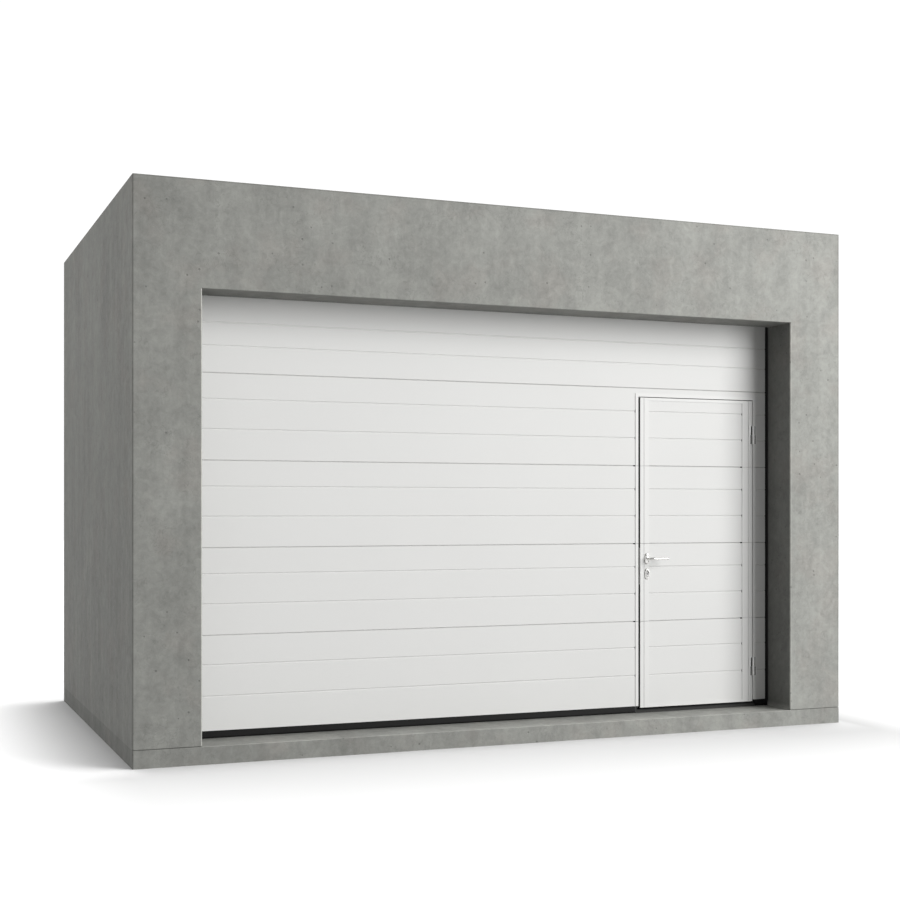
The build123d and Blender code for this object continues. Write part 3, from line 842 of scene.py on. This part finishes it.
    def subtract(self, *cutters: "Workpiece") -> "Workpiece":
        """Cut other pieces out of this one, and drop them."""
        for cutter in cutters:
            cutter.activate()
            self.modify("BOOLEAN", operation="DIFFERENCE", object=cutter.shape, solver="EXACT")
            cutter.drop()
        return self

    def drop(self) -> None:
        """Delete the piece."""
        self.activate()
        bpy.ops.object.delete()

    def copy(self, name: str, place: Point = (0, 0, 0), facing: Point | None = None,
             scale: Point = (1, 1, 1)) -> "Workpiece":
        """Copy with a mesh of its own.

        Args:
            name: Name of the copy.
            place: Where the original's origin goes.
            facing: Where the original's +Z axis goes, or None to leave it.
            scale: Scale by axis, with -1 for a mirrored copy.

        Returns:
            The copy, placed and applied.
        """
        self.activate()
        bpy.ops.object.duplicate(linked=False)
        twin = Workpiece(name, bpy.context.active_object)
        twin.shape.location = place
        twin.shape.scale = scale
        if facing is not None:
            twin.shape.rotation_euler = turn_to(facing)
        twin.settle()
        return twin

    def copy_inside(self, name: str) -> "Workpiece":
        """Copy mirrored in the leaf's middle plane, to its inner face."""
        return self.copy(name, (0, 2 * LEAF_MIDDLE, 0), scale=(1, -1, 1))

    def join(self, *others: "Workpiece") -> "Workpiece":
        """Join other pieces into this one."""
        self.activate()
        for other in others:
            other.shape.select_set(True)
        bpy.ops.object.join()
        return self

    def clean(self, smooth_deg: float | None, weighted: bool = False) -> "Workpiece":
        """Merge doubles, turn the normals out and set the shading.

        Args:
            smooth_deg: Sharpest angle that is shaded smooth, or None for flat faces.
            weighted: Whether large faces decide the normals at their edges.

        Returns:
            The piece.
        """
        self.pick_all()
        bpy.ops.mesh.remove_doubles(threshold=MERGE)
        bpy.ops.mesh.normals_make_consistent(inside=False)
        self.activate()
        if smooth_deg is not None:
            bpy.ops.object.shade_smooth_by_angle(angle=math.radians(smooth_deg))
        if weighted:
            self.modify("WEIGHTED_NORMAL", keep_sharp=True)
        return self


@dataclass
class Workshop:
    """Hands each finished piece its finish, slot and body, and the solids it stands for."""

    finishes: Finishes

    def deliver(self, piece: Workpiece, slot: Slot, body: Body, *nodes: str) -> None:
        """Dress a piece and hand it over.

        Args:
            piece: The finished piece.
            slot: The record's slot that it takes its finish from.
            body: The body that it rides on.
            nodes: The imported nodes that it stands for.
        """
        piece.activate()
        piece.shape.data.materials.clear()
        piece.shape.data.materials.append(self.finishes.by_slot[slot])
        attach(piece.shape, body.value)
        if nodes:
            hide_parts(*nodes)
        faces = len(piece.shape.data.polygons)
        log.info("%s: %d faces, on %s", piece.shape.name, faces, body.value)


@dataclass
class ConcreteHouse:
    """Castings of the garage, with eased arrises wherever an edge is free."""

    shop: Workshop
    wall_inside: float = 2.110
    portal_back: float = -1.2455
    inner_back: float = 1.3075
    joint_height: float = 0.005
    joint_depth: float = 0.008
    ease: float = 0.003
    reveal_ease: float = 0.006

    def build(self) -> None:
        """Cast every block."""
        self._slab()
        for node in ("left_post", "right_post"):
            self._post(node)
        self._lintel()
        for node in ("left_wall", "right_wall", "roof_slab"):
            self._deliver(Workpiece.block(f"{node}_casting", *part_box(node)), node)

    def _deliver(self, piece: Workpiece, node: str, free: Test | None = None,
                 ease: float | None = None) -> None:
        """Ease the free edges, then hand the block over.

        Args:
            piece: The block.
            node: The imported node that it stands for.
            free: Test for free edges besides the outer ones.
            ease: How wide those are eased, or None for the usual width.
        """
        piece.pick(Kind.EDGE, self._outer).bevel(self.ease)
        if free:
            piece.pick(Kind.EDGE, free).bevel(ease or self.ease)
        self.shop.deliver(piece.clean(None), Slot.CONCRETE, Body.ROOT, node)

    @staticmethod
    def _outer(place: Vector, way: Vector) -> bool:
        """Whether an edge is an outer arris of the whole building."""
        faces = (near(abs(place.x), HALF_WIDTH), near(abs(place.y), HALF_DEPTH),
                 near(place.z, HEIGHT))
        return sum(faces) >= 2

    @staticmethod
    def _reveal_edge(place: Vector, way: Vector) -> bool:
        """Whether an edge is the upright front arris of the opening."""
        at_jamb = near(abs(place.x), OPENING_HALF) and near(place.y, -HALF_DEPTH)
        return at_jamb and abs(way.z) > ALONG

    @staticmethod
    def _sill_edge(place: Vector, way: Vector) -> bool:
        """Whether an edge is the slab's upper front arris."""
        return near(place.z, SILL) and near(place.y, -HALF_DEPTH) and abs(way.x) > ALONG

    @staticmethod
    def _soffit_edge(place: Vector, way: Vector) -> bool:
        """Whether an edge is the lintel's lower front arris between the posts."""
        at_front = near(place.z, SOFFIT) and near(place.y, -HALF_DEPTH)
        return at_front and abs(place.x) < OPENING_HALF

    def _slab(self) -> None:
        """Slab with a full-width strip in front, which narrows between the walls."""
        low = (-HALF_WIDTH, -HALF_DEPTH, 0)
        high = (HALF_WIDTH, self.portal_back, SILL)
        inside = self.wall_inside
        piece = Workpiece.block("floor_slab_casting", low, high)
        for x in (-inside, inside):
            piece.bisect((x, 0, 0), (1, 0, 0))
        piece.pick(Kind.FACE, lambda place, way: way.y > ALONG and abs(place.x) < inside)
        piece.extrude((0, self.inner_back - self.portal_back, 0))
        self._deliver(piece, "floor_slab", self._sill_edge)

    def _post(self, node: str) -> None:
        """Post on a foot that stands back behind its shadow joint."""
        low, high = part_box(node)
        joint_back = low.y + self.joint_depth
        corner = (low.x, low.y, low.z + self.joint_height)
        piece = Workpiece.block(f"{node}_casting", corner, high)
        piece.bisect((0, joint_back, 0), (0, 1, 0))
        piece.pick(Kind.FACE, lambda place, way: way.z < -ALONG and place.y > joint_back)
        piece.extrude((0, 0, -self.joint_height))
        self._deliver(piece, node, self._reveal_edge, self.reveal_ease)

    def _lintel(self) -> None:
        """Lintel whose lower front arris is eased between the posts."""
        piece = Workpiece.block("lintel_casting", *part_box("lintel"))
        for x in (-OPENING_HALF, OPENING_HALF):
            piece.bisect((x, 0, 0), (1, 0, 0))
        self._deliver(piece, "lintel", self._soffit_edge)


@dataclass
class LeverPair:
    """Round levers on both faces of the leaf, joined by a square spindle."""

    shop: Workshop
    rose_y: float = -1.2515
    grip_y: float = -1.2995
    collar_radius: float = 0.0105
    collar_height: float = 0.003
    collar_slope: float = 0.0008
    radius: float = 0.008
    sides: int = 40
    bend_radius: float = 0.024
    bend_steps: int = 12
    grip_end: float = 1.138
    grip_runs: int = 6
    grip_taper: float = 0.88
    tip_rounds: tuple[Span, ...] = ((0.0016, 0.90), (0.0014, 0.76), (0.0009, 0.52))
    spindle_width: float = 0.0080
    spindle_round: float = 0.0006

    def build(self) -> None:
        """Bend one lever, mirror it for the inside and join both by the spindle."""
        outer = self._lever()
        inner = outer.copy_inside("inner_lever")
        size = (self.spindle_width, 2 * (LEAF_MIDDLE - self.rose_y), self.spindle_width)
        spindle = Workpiece.brick("spindle", (LOCK_X, LEAF_MIDDLE, LEVER_Z), size)
        spindle.pick_along("y").bevel(self.spindle_round).clean(None)
        pair = Workpiece.gather("lever_pair", [outer, inner, spindle]).clean(ROUND_DEG)
        self.shop.deliver(pair, Slot.POLISHED, Body.LEVER, "lever_handle")

    def _lever(self) -> Workpiece:
        """Collar, neck, bend and tapered grip of the outer lever."""
        x, z = LOCK_X, LEVER_Z
        start = (x, self.rose_y, z)
        piece = Workpiece.disc("outer_lever", start, self.collar_radius, (0, -1, 0), self.sides)
        piece.pick_all().extrude((0, -self.collar_height, 0))
        shoulder = self.rose_y - self.collar_height - self.collar_slope
        shrink = self.radius / self.collar_radius
        piece.extrude((0, -self.collar_slope, 0)).stretch((shrink, 1, shrink), (x, shoulder, z))
        bend_y = self.grip_y + self.bend_radius
        along = x + self.bend_radius
        piece.extrude((0, bend_y - shoulder, 0))
        piece.spin(-90, (along, bend_y, z), (0, 0, 1), self.bend_steps)
        run = (self.grip_end - along) / self.grip_runs
        taper = self.grip_taper ** (1 / self.grip_runs)
        for move, shrink in ((run, taper),) * self.grip_runs + self.tip_rounds:
            along += move
            piece.extrude((move, 0, 0)).stretch((1, shrink, shrink), (along, self.grip_y, z))
        return piece.clean(ROUND_DEG)


@dataclass
class LockFurniture:
    """Oval roses under the levers and oval plates round the lock cylinder, on both faces."""

    shop: Workshop
    lock_z: float = 0.993
    width: float = 0.030
    height: float = 0.072
    thickness: float = 0.008
    corner_steps: int = 12
    rim: float = 0.0074
    rim_steps: int = 7
    cutter_reach: float = 0.02
    spindle_hole: float = 0.0052
    bore_radius: float = 0.0088
    stem_width: float = 0.0104
    stem_drop: float = 0.0167
    foot_steps: int = 8
    plug_radius: float = 0.0062
    plug_face: float = -1.2535
    plug_proud: float = 0.0007
    plug_rim: float = 0.0003
    slot_size: Point = (0.0014, 0.0015, 0.0080)
    slot_ahead: float = 0.00025

    def build(self) -> None:
        """Make both pairs and the key plugs."""
        hole = self._drill("spindle_hole", LEVER_Z, self.spindle_hole, 24)
        bore = self._drill("bore", self.lock_z, self.bore_radius, 32)
        self._pair("lever_roses_oval", "lever_roses", LEVER_Z, hole)
        self._pair("lock_plates_oval", "lock_roses", self.lock_z, bore, self._stem())
        self._plugs()

    def _drill(self, name: str, z: float, radius: float, sides: int) -> Workpiece:
        """Round cutter through a plate."""
        start = (LOCK_X, PROFILE_FACE + self.cutter_reach, z)
        return Workpiece.rod(name, start, radius, (0, -2 * self.cutter_reach, 0), sides)

    def _stem(self) -> Workpiece:
        """Cutter for the straight part of the lock's profile, with a rounded foot."""
        top = self.lock_z
        centre = (LOCK_X, PROFILE_FACE, top - self.stem_drop / 2)
        size = (self.stem_width, 2 * self.cutter_reach, self.stem_drop)
        stem = Workpiece.brick("stem", centre, size)
        stem.pick(Kind.EDGE, lambda place, way: abs(way.y) > ALONG and place.z < centre[2])
        return stem.bevel(self.stem_width / 2 - BEVEL_GAP, self.foot_steps).clean(None)

    def _pair(self, name: str, node: str, z: float, *cutters: Workpiece) -> None:
        """Make an oval plate with a rounded rim, mirror it to the inside and hand both over.

        Args:
            name: Name of the pair.
            node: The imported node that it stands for.
            z: Height of the plate's middle.
            cutters: What pierces the plate.
        """
        front = PROFILE_FACE - self.thickness
        centre = (LOCK_X, PROFILE_FACE - self.thickness / 2, z)
        plate = Workpiece.brick(name, centre, (self.width, self.thickness, self.height))
        plate.pick_along("y").bevel(self.width / 2 - BEVEL_GAP, self.corner_steps)
        plate.clean(None).subtract(*cutters)

        def outline(place: Vector, way: Vector) -> bool:
            """Whether an edge lies on the front's outer outline."""
            past = max(abs(place.z - z) - (self.height - self.width) / 2, 0)
            off_axis = math.hypot(place.x - LOCK_X, past)
            return near(place.y, front) and off_axis > self.width * 0.4

        plate.pick(Kind.EDGE, outline).bevel(self.rim, self.rim_steps)
        plate.join(plate.copy_inside("inner_plate")).clean(ROUND_DEG, weighted=True)
        self.shop.deliver(plate, Slot.POLISHED, Body.LEAF, node)

    def _plugs(self) -> None:
        """Turning plugs of the lock cylinder with their key slots."""
        start = (LOCK_X, self.plug_face, self.lock_z)
        face = self.plug_face - self.plug_proud
        plug = Workpiece.rod("key_plugs", start, self.plug_radius, (0, -self.plug_proud, 0))
        plug.pick_level("y", face).bevel(self.plug_rim, 1).clean(None)
        centre = (LOCK_X, face - self.slot_ahead, self.lock_z)
        plug.subtract(Workpiece.brick("key_slot", centre, self.slot_size))
        plug.join(plug.copy_inside("inner_plug")).clean(CRISP_DEG)
        self.shop.deliver(plug, Slot.SPRING_STEEL, Body.LEAF)


@dataclass
class Screws:
    """Countersunk cross-head screws, modelled once and set wherever one is needed."""

    shop: Workshop
    radius: float = 0.0036
    height: float = 0.0012
    rim: float = 0.0006
    cross_width: float = 0.0009
    cross_length: float = 0.0042
    cross_depth: float = 0.0007

    def _head(self) -> Workpiece:
        """Screw head at the origin, facing up."""
        top = (0, 0, self.height)
        head = Workpiece.rod("screw_head", (0, 0, 0), self.radius, top, 20)
        head.pick_level("z", self.height).bevel(self.rim).clean(None)
        long, wide, deep = self.cross_length, self.cross_width, 2 * self.cross_depth
        for size in ((long, wide, deep), (wide, long, deep)):
            head.subtract(Workpiece.brick("cross", top, size))
        return head.clean(CRISP_DEG)

    def set_all(self, name: str, spots: list[Point], facing: Point, slot: Slot,
                body: Body) -> None:
        """Set a group of screws.

        Args:
            name: Name of the group.
            spots: Place of each.
            facing: Direction that they face.
            slot: Slot of their finish.
            body: Body that they ride on.
        """
        model = self._head()
        group = [model.copy(f"{name}_{index}", spot, facing) for index, spot in enumerate(spots)]
        model.drop()
        self.shop.deliver(Workpiece.gather(name, group), slot, body)


@dataclass
class HingeTrim:
    """Black strips beside the hinge knuckles, put where shadow lines show, and the screws of the
    hinge wings.
    """

    shop: Workshop
    screws: Screws
    axis_x: float = 1.8155
    split_z: Span = (0.365, 1.902)
    half_height: float = 0.060
    wing_face: float = -1.2475
    strip_near: Span = (0.0088, 0.0125)
    strip_width: float = 0.0070
    strip_thickness: float = 0.0012
    strip_rim: float = 0.0004
    end_gap: float = 0.001
    screw_off: float = 0.0235
    screw_along: Span = (0.015, 0.045)

    def build(self) -> None:
        """Fit the strips and drive the screws on leaf and frame.

        A screw stands above the split of the knuckles on the leaf, and below it on the frame.
        """
        for body, side in ((Body.LEAF, -1), (Body.ROOT, 1)):
            # Dark strips that stand in for the shadow lines beside the knuckles.
            strips = [self._strip(side, split, upper)
                      for split in self.split_z for upper in (True, False)]
            strip = Workpiece.gather(f"hinge_strips_{body.value}", strips)
            self.shop.deliver(strip.clean(None), Slot.SEAL, body)
            spots = [(self.axis_x + side * self.screw_off, self.wing_face, split - side * along)
                     for split in self.split_z for along in self.screw_along]
            name = f"hinge_screws_{body.value}"
            self.screws.set_all(name, spots, (0, -1, 0), Slot.HINGE, body)

    def _strip(self, side: int, split: float, upper: bool) -> Workpiece:
        """Dark strip beside one half of the knuckle, on the wing or on the flange, put where a
        shadow line shows.

        Args:
            side: -1 on the leaf, 1 on the frame.
            split: Height at which the two knuckles meet.
            upper: Whether it stands beside the upper knuckle.

        Returns:
            The strip.
        """
        on_wing = upper == (side < 0)
        back = self.wing_face if on_wing else PROFILE_FACE
        middle_x = self.axis_x + side * (self.strip_near[side > 0] + self.strip_width / 2)
        middle_z = split + (1 if upper else -1) * self.half_height / 2
        centre = (middle_x, back - self.strip_thickness / 2, middle_z)
        size = (self.strip_width, self.strip_thickness, self.half_height - 2 * self.end_gap)
        strip = Workpiece.brick("hinge_strip", centre, size)
        return strip.pick_level("y", back - self.strip_thickness).bevel(self.strip_rim, 1)


@dataclass
class RibPlugs:
    """Black rubber plugs where the ribs and seams run in under a flange, put where the shade in
    those notches shows.
    """

    shop: Workshop
    frame_edge: float = 0.930
    leaf_edge: float = 1.735
    seams: tuple[float, ...] = (0.688, 1.188, 1.688)
    ribs: tuple[float, ...] = (0.340, 0.519, 0.866, 1.038, 1.366, 1.538, 1.866, 2.038)
    seam_plug: Span = (0.012, 0.008)
    rib_plug: Span = (0.0022, 0.020)
    proud: float = 0.0007
    sunk: float = 0.0030
    rim: float = 0.0005

    def build(self) -> None:
        """Fit the plugs at the lock jamb's flange and at the hinge stile's flange."""
        # Dark plugs that stand in for the shade at the ends of ribs and seams.
        self._row("rib_plugs_frame", self.frame_edge, Body.ROOT)
        self._row("rib_plugs_leaf", self.leaf_edge, Body.LEAF)

    def _row(self, name: str, edge_x: float, body: Body) -> None:
        """Plugs at all heights beside one flange.

        Args:
            name: Name of the row.
            edge_x: The flange's edge, which the plugs touch with their right sides.
            body: Body that they ride on.
        """
        plugs = []
        for (width, height), levels in ((self.seam_plug, self.seams), (self.rib_plug, self.ribs)):
            centre = (edge_x - width / 2, PANEL_FACE + (self.sunk - self.proud) / 2, 0)
            model = Workpiece.brick("plug", centre, (width, self.proud + self.sunk, height))
            model.pick_level("y", PANEL_FACE - self.proud).bevel(self.rim)
            plugs += [model.copy(name, (0, 0, level)) for level in levels]
            model.drop()
        self.shop.deliver(Workpiece.gather(name, plugs).clean(None), Slot.SEAL, body)


@dataclass
class Faceplate:
    """Lock faceplate on the leaf's edge, with a bevelled latch, a dead bolt and two screws."""

    shop: Workshop
    screws: Screws
    face_x: float = 0.963
    thickness: float = 0.002
    width: float = 0.022
    low_z: float = 0.928
    high_z: float = 1.159
    end_steps: int = 10
    rim: float = 0.0004
    latch_size: Point = (0.0055, 0.0120, 0.0300)
    latch_slope: float = 0.8
    bolt_z: float = 0.990
    bolt_size: Point = (0.0012, 0.0100, 0.0330)
    bolt_rim: float = 0.0005
    screw_inset: float = 0.011

    def build(self) -> None:
        """Make the plate with its latch and bolt, and screw it on."""
        centre = (self.face_x + self.thickness / 2, LEAF_MIDDLE, (self.low_z + self.high_z) / 2)
        size = (self.thickness, self.width, self.high_z - self.low_z)
        plate = Workpiece.brick("faceplate", centre, size)
        plate.pick_along("x").bevel(self.width / 2 - BEVEL_GAP, self.end_steps).clean(None)
        plate.pick_level("x", self.face_x).bevel(self.rim).clean(ROUND_DEG, weighted=True)
        plate.join(self._latch(), self._bolt())
        self.shop.deliver(plate, Slot.THRESHOLD, Body.LEAF, "lock_faceplate")
        heights = (self.low_z + self.screw_inset, self.high_z - self.screw_inset)
        spots = [(self.face_x, LEAF_MIDDLE, z) for z in heights]
        self.screws.set_all("faceplate_screws", spots, (-1, 0, 0), Slot.THRESHOLD, Body.LEAF)

    def _tongue(self, name: str, z: float, size: Point) -> Workpiece:
        """Block that stands out of the faceplate."""
        return Workpiece.brick(name, (self.face_x - size[0] / 2, LEAF_MIDDLE, z), size)

    def _latch(self) -> Workpiece:
        """Latch whose outer side slopes, so that it slips in when the leaf closes."""
        proud, width, _ = self.latch_size
        tip, inner = self.face_x - proud, LEAF_MIDDLE + width / 2
        latch = self._tongue("latch", LEVER_Z, self.latch_size)
        latch.pick(Kind.VERT, lambda place, way: near(place.x, tip) and near(place.y, inner))
        return latch.shift((proud * self.latch_slope, 0, 0)).clean(None)

    def _bolt(self) -> Workpiece:
        """Dead bolt, drawn back, its end rounded."""
        bolt = self._tongue("bolt", self.bolt_z, self.bolt_size)
        bolt.pick_level("x", self.face_x - self.bolt_size[0])
        return bolt.bevel(self.bolt_rim).clean(None)


@dataclass
class TorsionSprings:
    """Wound springs on the shaft, each between a fixed cone and a winding cone."""

    shop: Workshop
    axis_y: float = -1.1325
    axis_z: float = 2.940
    coil_radius: float = 0.0245
    wire_radius: float = 0.0033
    wire_sides: int = 10
    near_x: float = 0.020
    far_x: float = 0.724
    turns: int = 96
    steps: int = 20
    cone_ends: Span = (0.0026, 0.7416)
    collar: float = 0.012
    cone_step: float = 0.0006
    cone_length: float = 0.022
    neck: float = 0.70
    taper: float = 0.92
    shaft_hole: float = 0.0136
    hole_lead: float = 0.01
    hole_length: float = 0.06

    def build(self) -> None:
        """Wind the right spring with its cones and mirror it to the left."""
        start, end = self.cone_ends
        coil = self._coil()
        coil.join(self._cone(start, 1), self._cone(end, -1))
        left = coil.copy("left_spring", scale=(-1, 1, 1))
        pair = Workpiece.gather("wound_springs", [coil, left]).clean(COIL_DEG)
        self.shop.deliver(pair, Slot.SPRING_STEEL, Body.ROOT, "torsion_springs")

    def _coil(self) -> Workpiece:
        """Wire section screwed along the shaft."""
        wire = Workpiece.disc("spring_coil", (0, 0, 0), self.wire_radius, (0, 1, 0),
                              self.wire_sides)
        wire.pick_all().shift((self.coil_radius, 0, 0))
        bpy.ops.mesh.delete(type="ONLY_FACE")
        pitch = (self.far_x - self.near_x) / self.turns
        wire.modify("SCREW", axis="Z", screw_offset=pitch, angle=math.tau, iterations=self.turns,
                    steps=self.steps, render_steps=self.steps)
        wire.pick_all()
        bpy.ops.mesh.fill_holes(sides=0)
        start = (self.near_x, self.axis_y, self.axis_z)
        coil = wire.copy("coil_on_shaft", start, (1, 0, 0))
        wire.drop()
        return coil

    def _cone(self, start: float, way: int) -> Workpiece:
        """Cast cone inside a spring's end, with its collar.

        Args:
            start: X of the collar's outer face.
            way: 1 where the spring lies to the right of it, -1 to the left.

        Returns:
            The cone.
        """
        y, z = self.axis_y, self.axis_z
        outer = self.coil_radius + self.wire_radius
        piece = Workpiece.disc("cone", (start, y, z), outer, (-way, 0, 0))
        piece.pick_all().extrude((way * self.collar, 0, 0))
        for length, shrink in ((self.cone_step, self.neck), (self.cone_length, self.taper)):
            piece.extrude((way * length, 0, 0)).stretch((1, shrink, shrink), (start, y, z))
        piece.clean(None)
        hole_start = (start - way * self.hole_lead, y, z)
        run = (way * self.hole_length, 0, 0)
        hole = Workpiece.rod("shaft_hole", hole_start, self.shaft_hole, run)
        return piece.subtract(hole).clean(ROUND_DEG)


@dataclass
class Studio:
    """Floor, lights and camera."""

    camera_place: Point = (-3.602, -9.312, 1.401)
    camera_turn_deg: float = -21.927
    lens_mm: float = 57.17
    sensor_mm: float = 36.0
    rise_share: float = 0.0672
    floor_half: float = 60.0
    backdrop: float = 1.05
    front_glow: float = 0.16
    back_glow: float = 0.62
    back_edge: Span = (-0.2, 0.6)
    top_glow: float = 0.35
    top_edge: Span = (0.1, 0.9)
    ground_glow: float = 0.18
    ground_edge: Span = (0.0, 0.5)
    panel_glow: float = 0.75
    panel_across: tuple[Span, Span] = ((0.15, 0.38), (0.68, 0.88))
    panel_upright: tuple[Span, Span] = ((-0.12, 0.06), (0.50, 0.76))
    panel_ahead: Span = (0.2, 0.5)
    key_place: Point = (7.74, -9.51, 5.15)
    key_target: Point = (0.5, -1.2, 1.3)
    key_width: float = 6.6
    key_height: float = 8.9
    key_power: float = 1400.0
    top_strength: float = 2.6
    top_tilt_right_deg: float = 6.0
    top_tilt_back_deg: float = 0.5
    top_spread_deg: float = 12.0

    def build(self) -> None:
        """Lay the floor, hang the lights and set up the camera, without a film curve."""
        bpy.context.scene.view_settings.view_transform = "Standard"
        self._floor()
        self._room_light()
        self._key_light()
        self._top_light()
        self._camera()

    def _floor(self) -> None:
        """Wide pale floor under the building, whose own bounce is left to the room light."""
        bpy.ops.mesh.primitive_plane_add(size=2 * self.floor_half, location=(0, 0, 0))
        floor = bpy.context.active_object
        floor.name = "studio_floor"
        floor.visible_diffuse = False
        floor.data.materials.append(StudioFloor().make())

    def _room_light(self) -> None:
        """Soft room light, strong from the white backdrop behind and weak from the front."""
        world = bpy.data.worlds.new("studio_world")
        bpy.context.scene.world = world
        world.use_nodes = True
        board = Board(world.node_tree, "Generated")
        x, y, z = board.axes()
        panel = board.band(x, *self.panel_across) * board.rise(0 - y, *self.panel_ahead)
        panel = panel * board.band(z, *self.panel_upright)
        glow = self.front_glow + board.rise(y, *self.back_edge) * self.back_glow
        glow = glow + panel * self.panel_glow
        glow = glow + board.rise(z, *self.top_edge) * self.top_glow
        glow = glow + board.rise(0 - z, *self.ground_edge) * self.ground_glow
        white = (1, 1, 1)
        soft = board.node("ShaderNodeBackground", sockets={"Strength": glow, "Color": white})
        seen = board.node("ShaderNodeBackground",
                          sockets={"Strength": self.backdrop, "Color": white})
        from_camera = board.node("ShaderNodeLightPath").outputs["Is Camera Ray"]
        sockets = {0: from_camera, 1: soft.outputs[0], 2: seen.outputs[0]}
        chosen = board.node("ShaderNodeMixShader", sockets=sockets)
        board.node("ShaderNodeOutputWorld", sockets={"Surface": chosen.outputs[0]})

    @staticmethod
    def _lamp(name: str, kind: str, place: Point, direction: Vector) -> bpy.types.Object:
        """Hang a lamp that no picture shows.

        Args:
            name: Name of the lamp.
            kind: Type of the light.
            place: Where it hangs.
            direction: Where it shines.

        Returns:
            The lamp's object.
        """
        bpy.ops.object.light_add(type=kind, location=place)
        lamp = bpy.context.active_object
        lamp.name = name
        lamp.rotation_euler = direction.to_track_quat("-Z", "Y").to_euler()
        lamp.visible_camera = False
        return lamp

    def _key_light(self) -> None:
        """Tall softbox in front, to the right."""
        direction = Vector(self.key_target) - Vector(self.key_place)
        lamp = self._lamp("key_softbox", "AREA", self.key_place, direction)
        lamp.data.shape = "RECTANGLE"
        lamp.data.size = self.key_width
        lamp.data.size_y = self.key_height
        lamp.data.energy = self.key_power

    def _top_light(self) -> None:
        """Soft light from nearly overhead, a little from the right and from behind."""
        right = math.tan(math.radians(self.top_tilt_right_deg))
        back = math.tan(math.radians(self.top_tilt_back_deg))
        lamp = self._lamp("top_light", "SUN", (0, 0, 8), Vector((-right, -back, -1)))
        lamp.data.energy = self.top_strength
        lamp.data.angle = math.radians(self.top_spread_deg)

    def _camera(self) -> None:
        """Level camera left of the building, its frame raised as in an architect's view."""
        bpy.ops.object.camera_add(location=self.camera_place)
        camera = bpy.context.active_object
        camera.name = "view_camera"
        camera.rotation_euler = (math.radians(90), 0, math.radians(self.camera_turn_deg))
        camera.data.lens = self.lens_mm
        camera.data.sensor_width = self.sensor_mm
        camera.data.shift_y = self.rise_share
        bpy.context.scene.camera = camera


def main() -> None:
    """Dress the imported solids, add the fine pieces and set up the studio."""
    logging.basicConfig(level=logging.INFO, format="%(name)s: %(message)s")
    bpy.ops.object.select_all(action="DESELECT")
    finishes = Finishes()
    finishes.mix_all()
    finishes.dress_frame()
    shop = Workshop(finishes)
    screws = Screws(shop)
    ConcreteHouse(shop).build()
    LeverPair(shop).build()
    LockFurniture(shop).build()
    HingeTrim(shop, screws).build()
    RibPlugs(shop).build()
    Faceplate(shop, screws).build()
    TorsionSprings(shop).build()
    Studio().build()


if __name__ == "__main__":
    main()
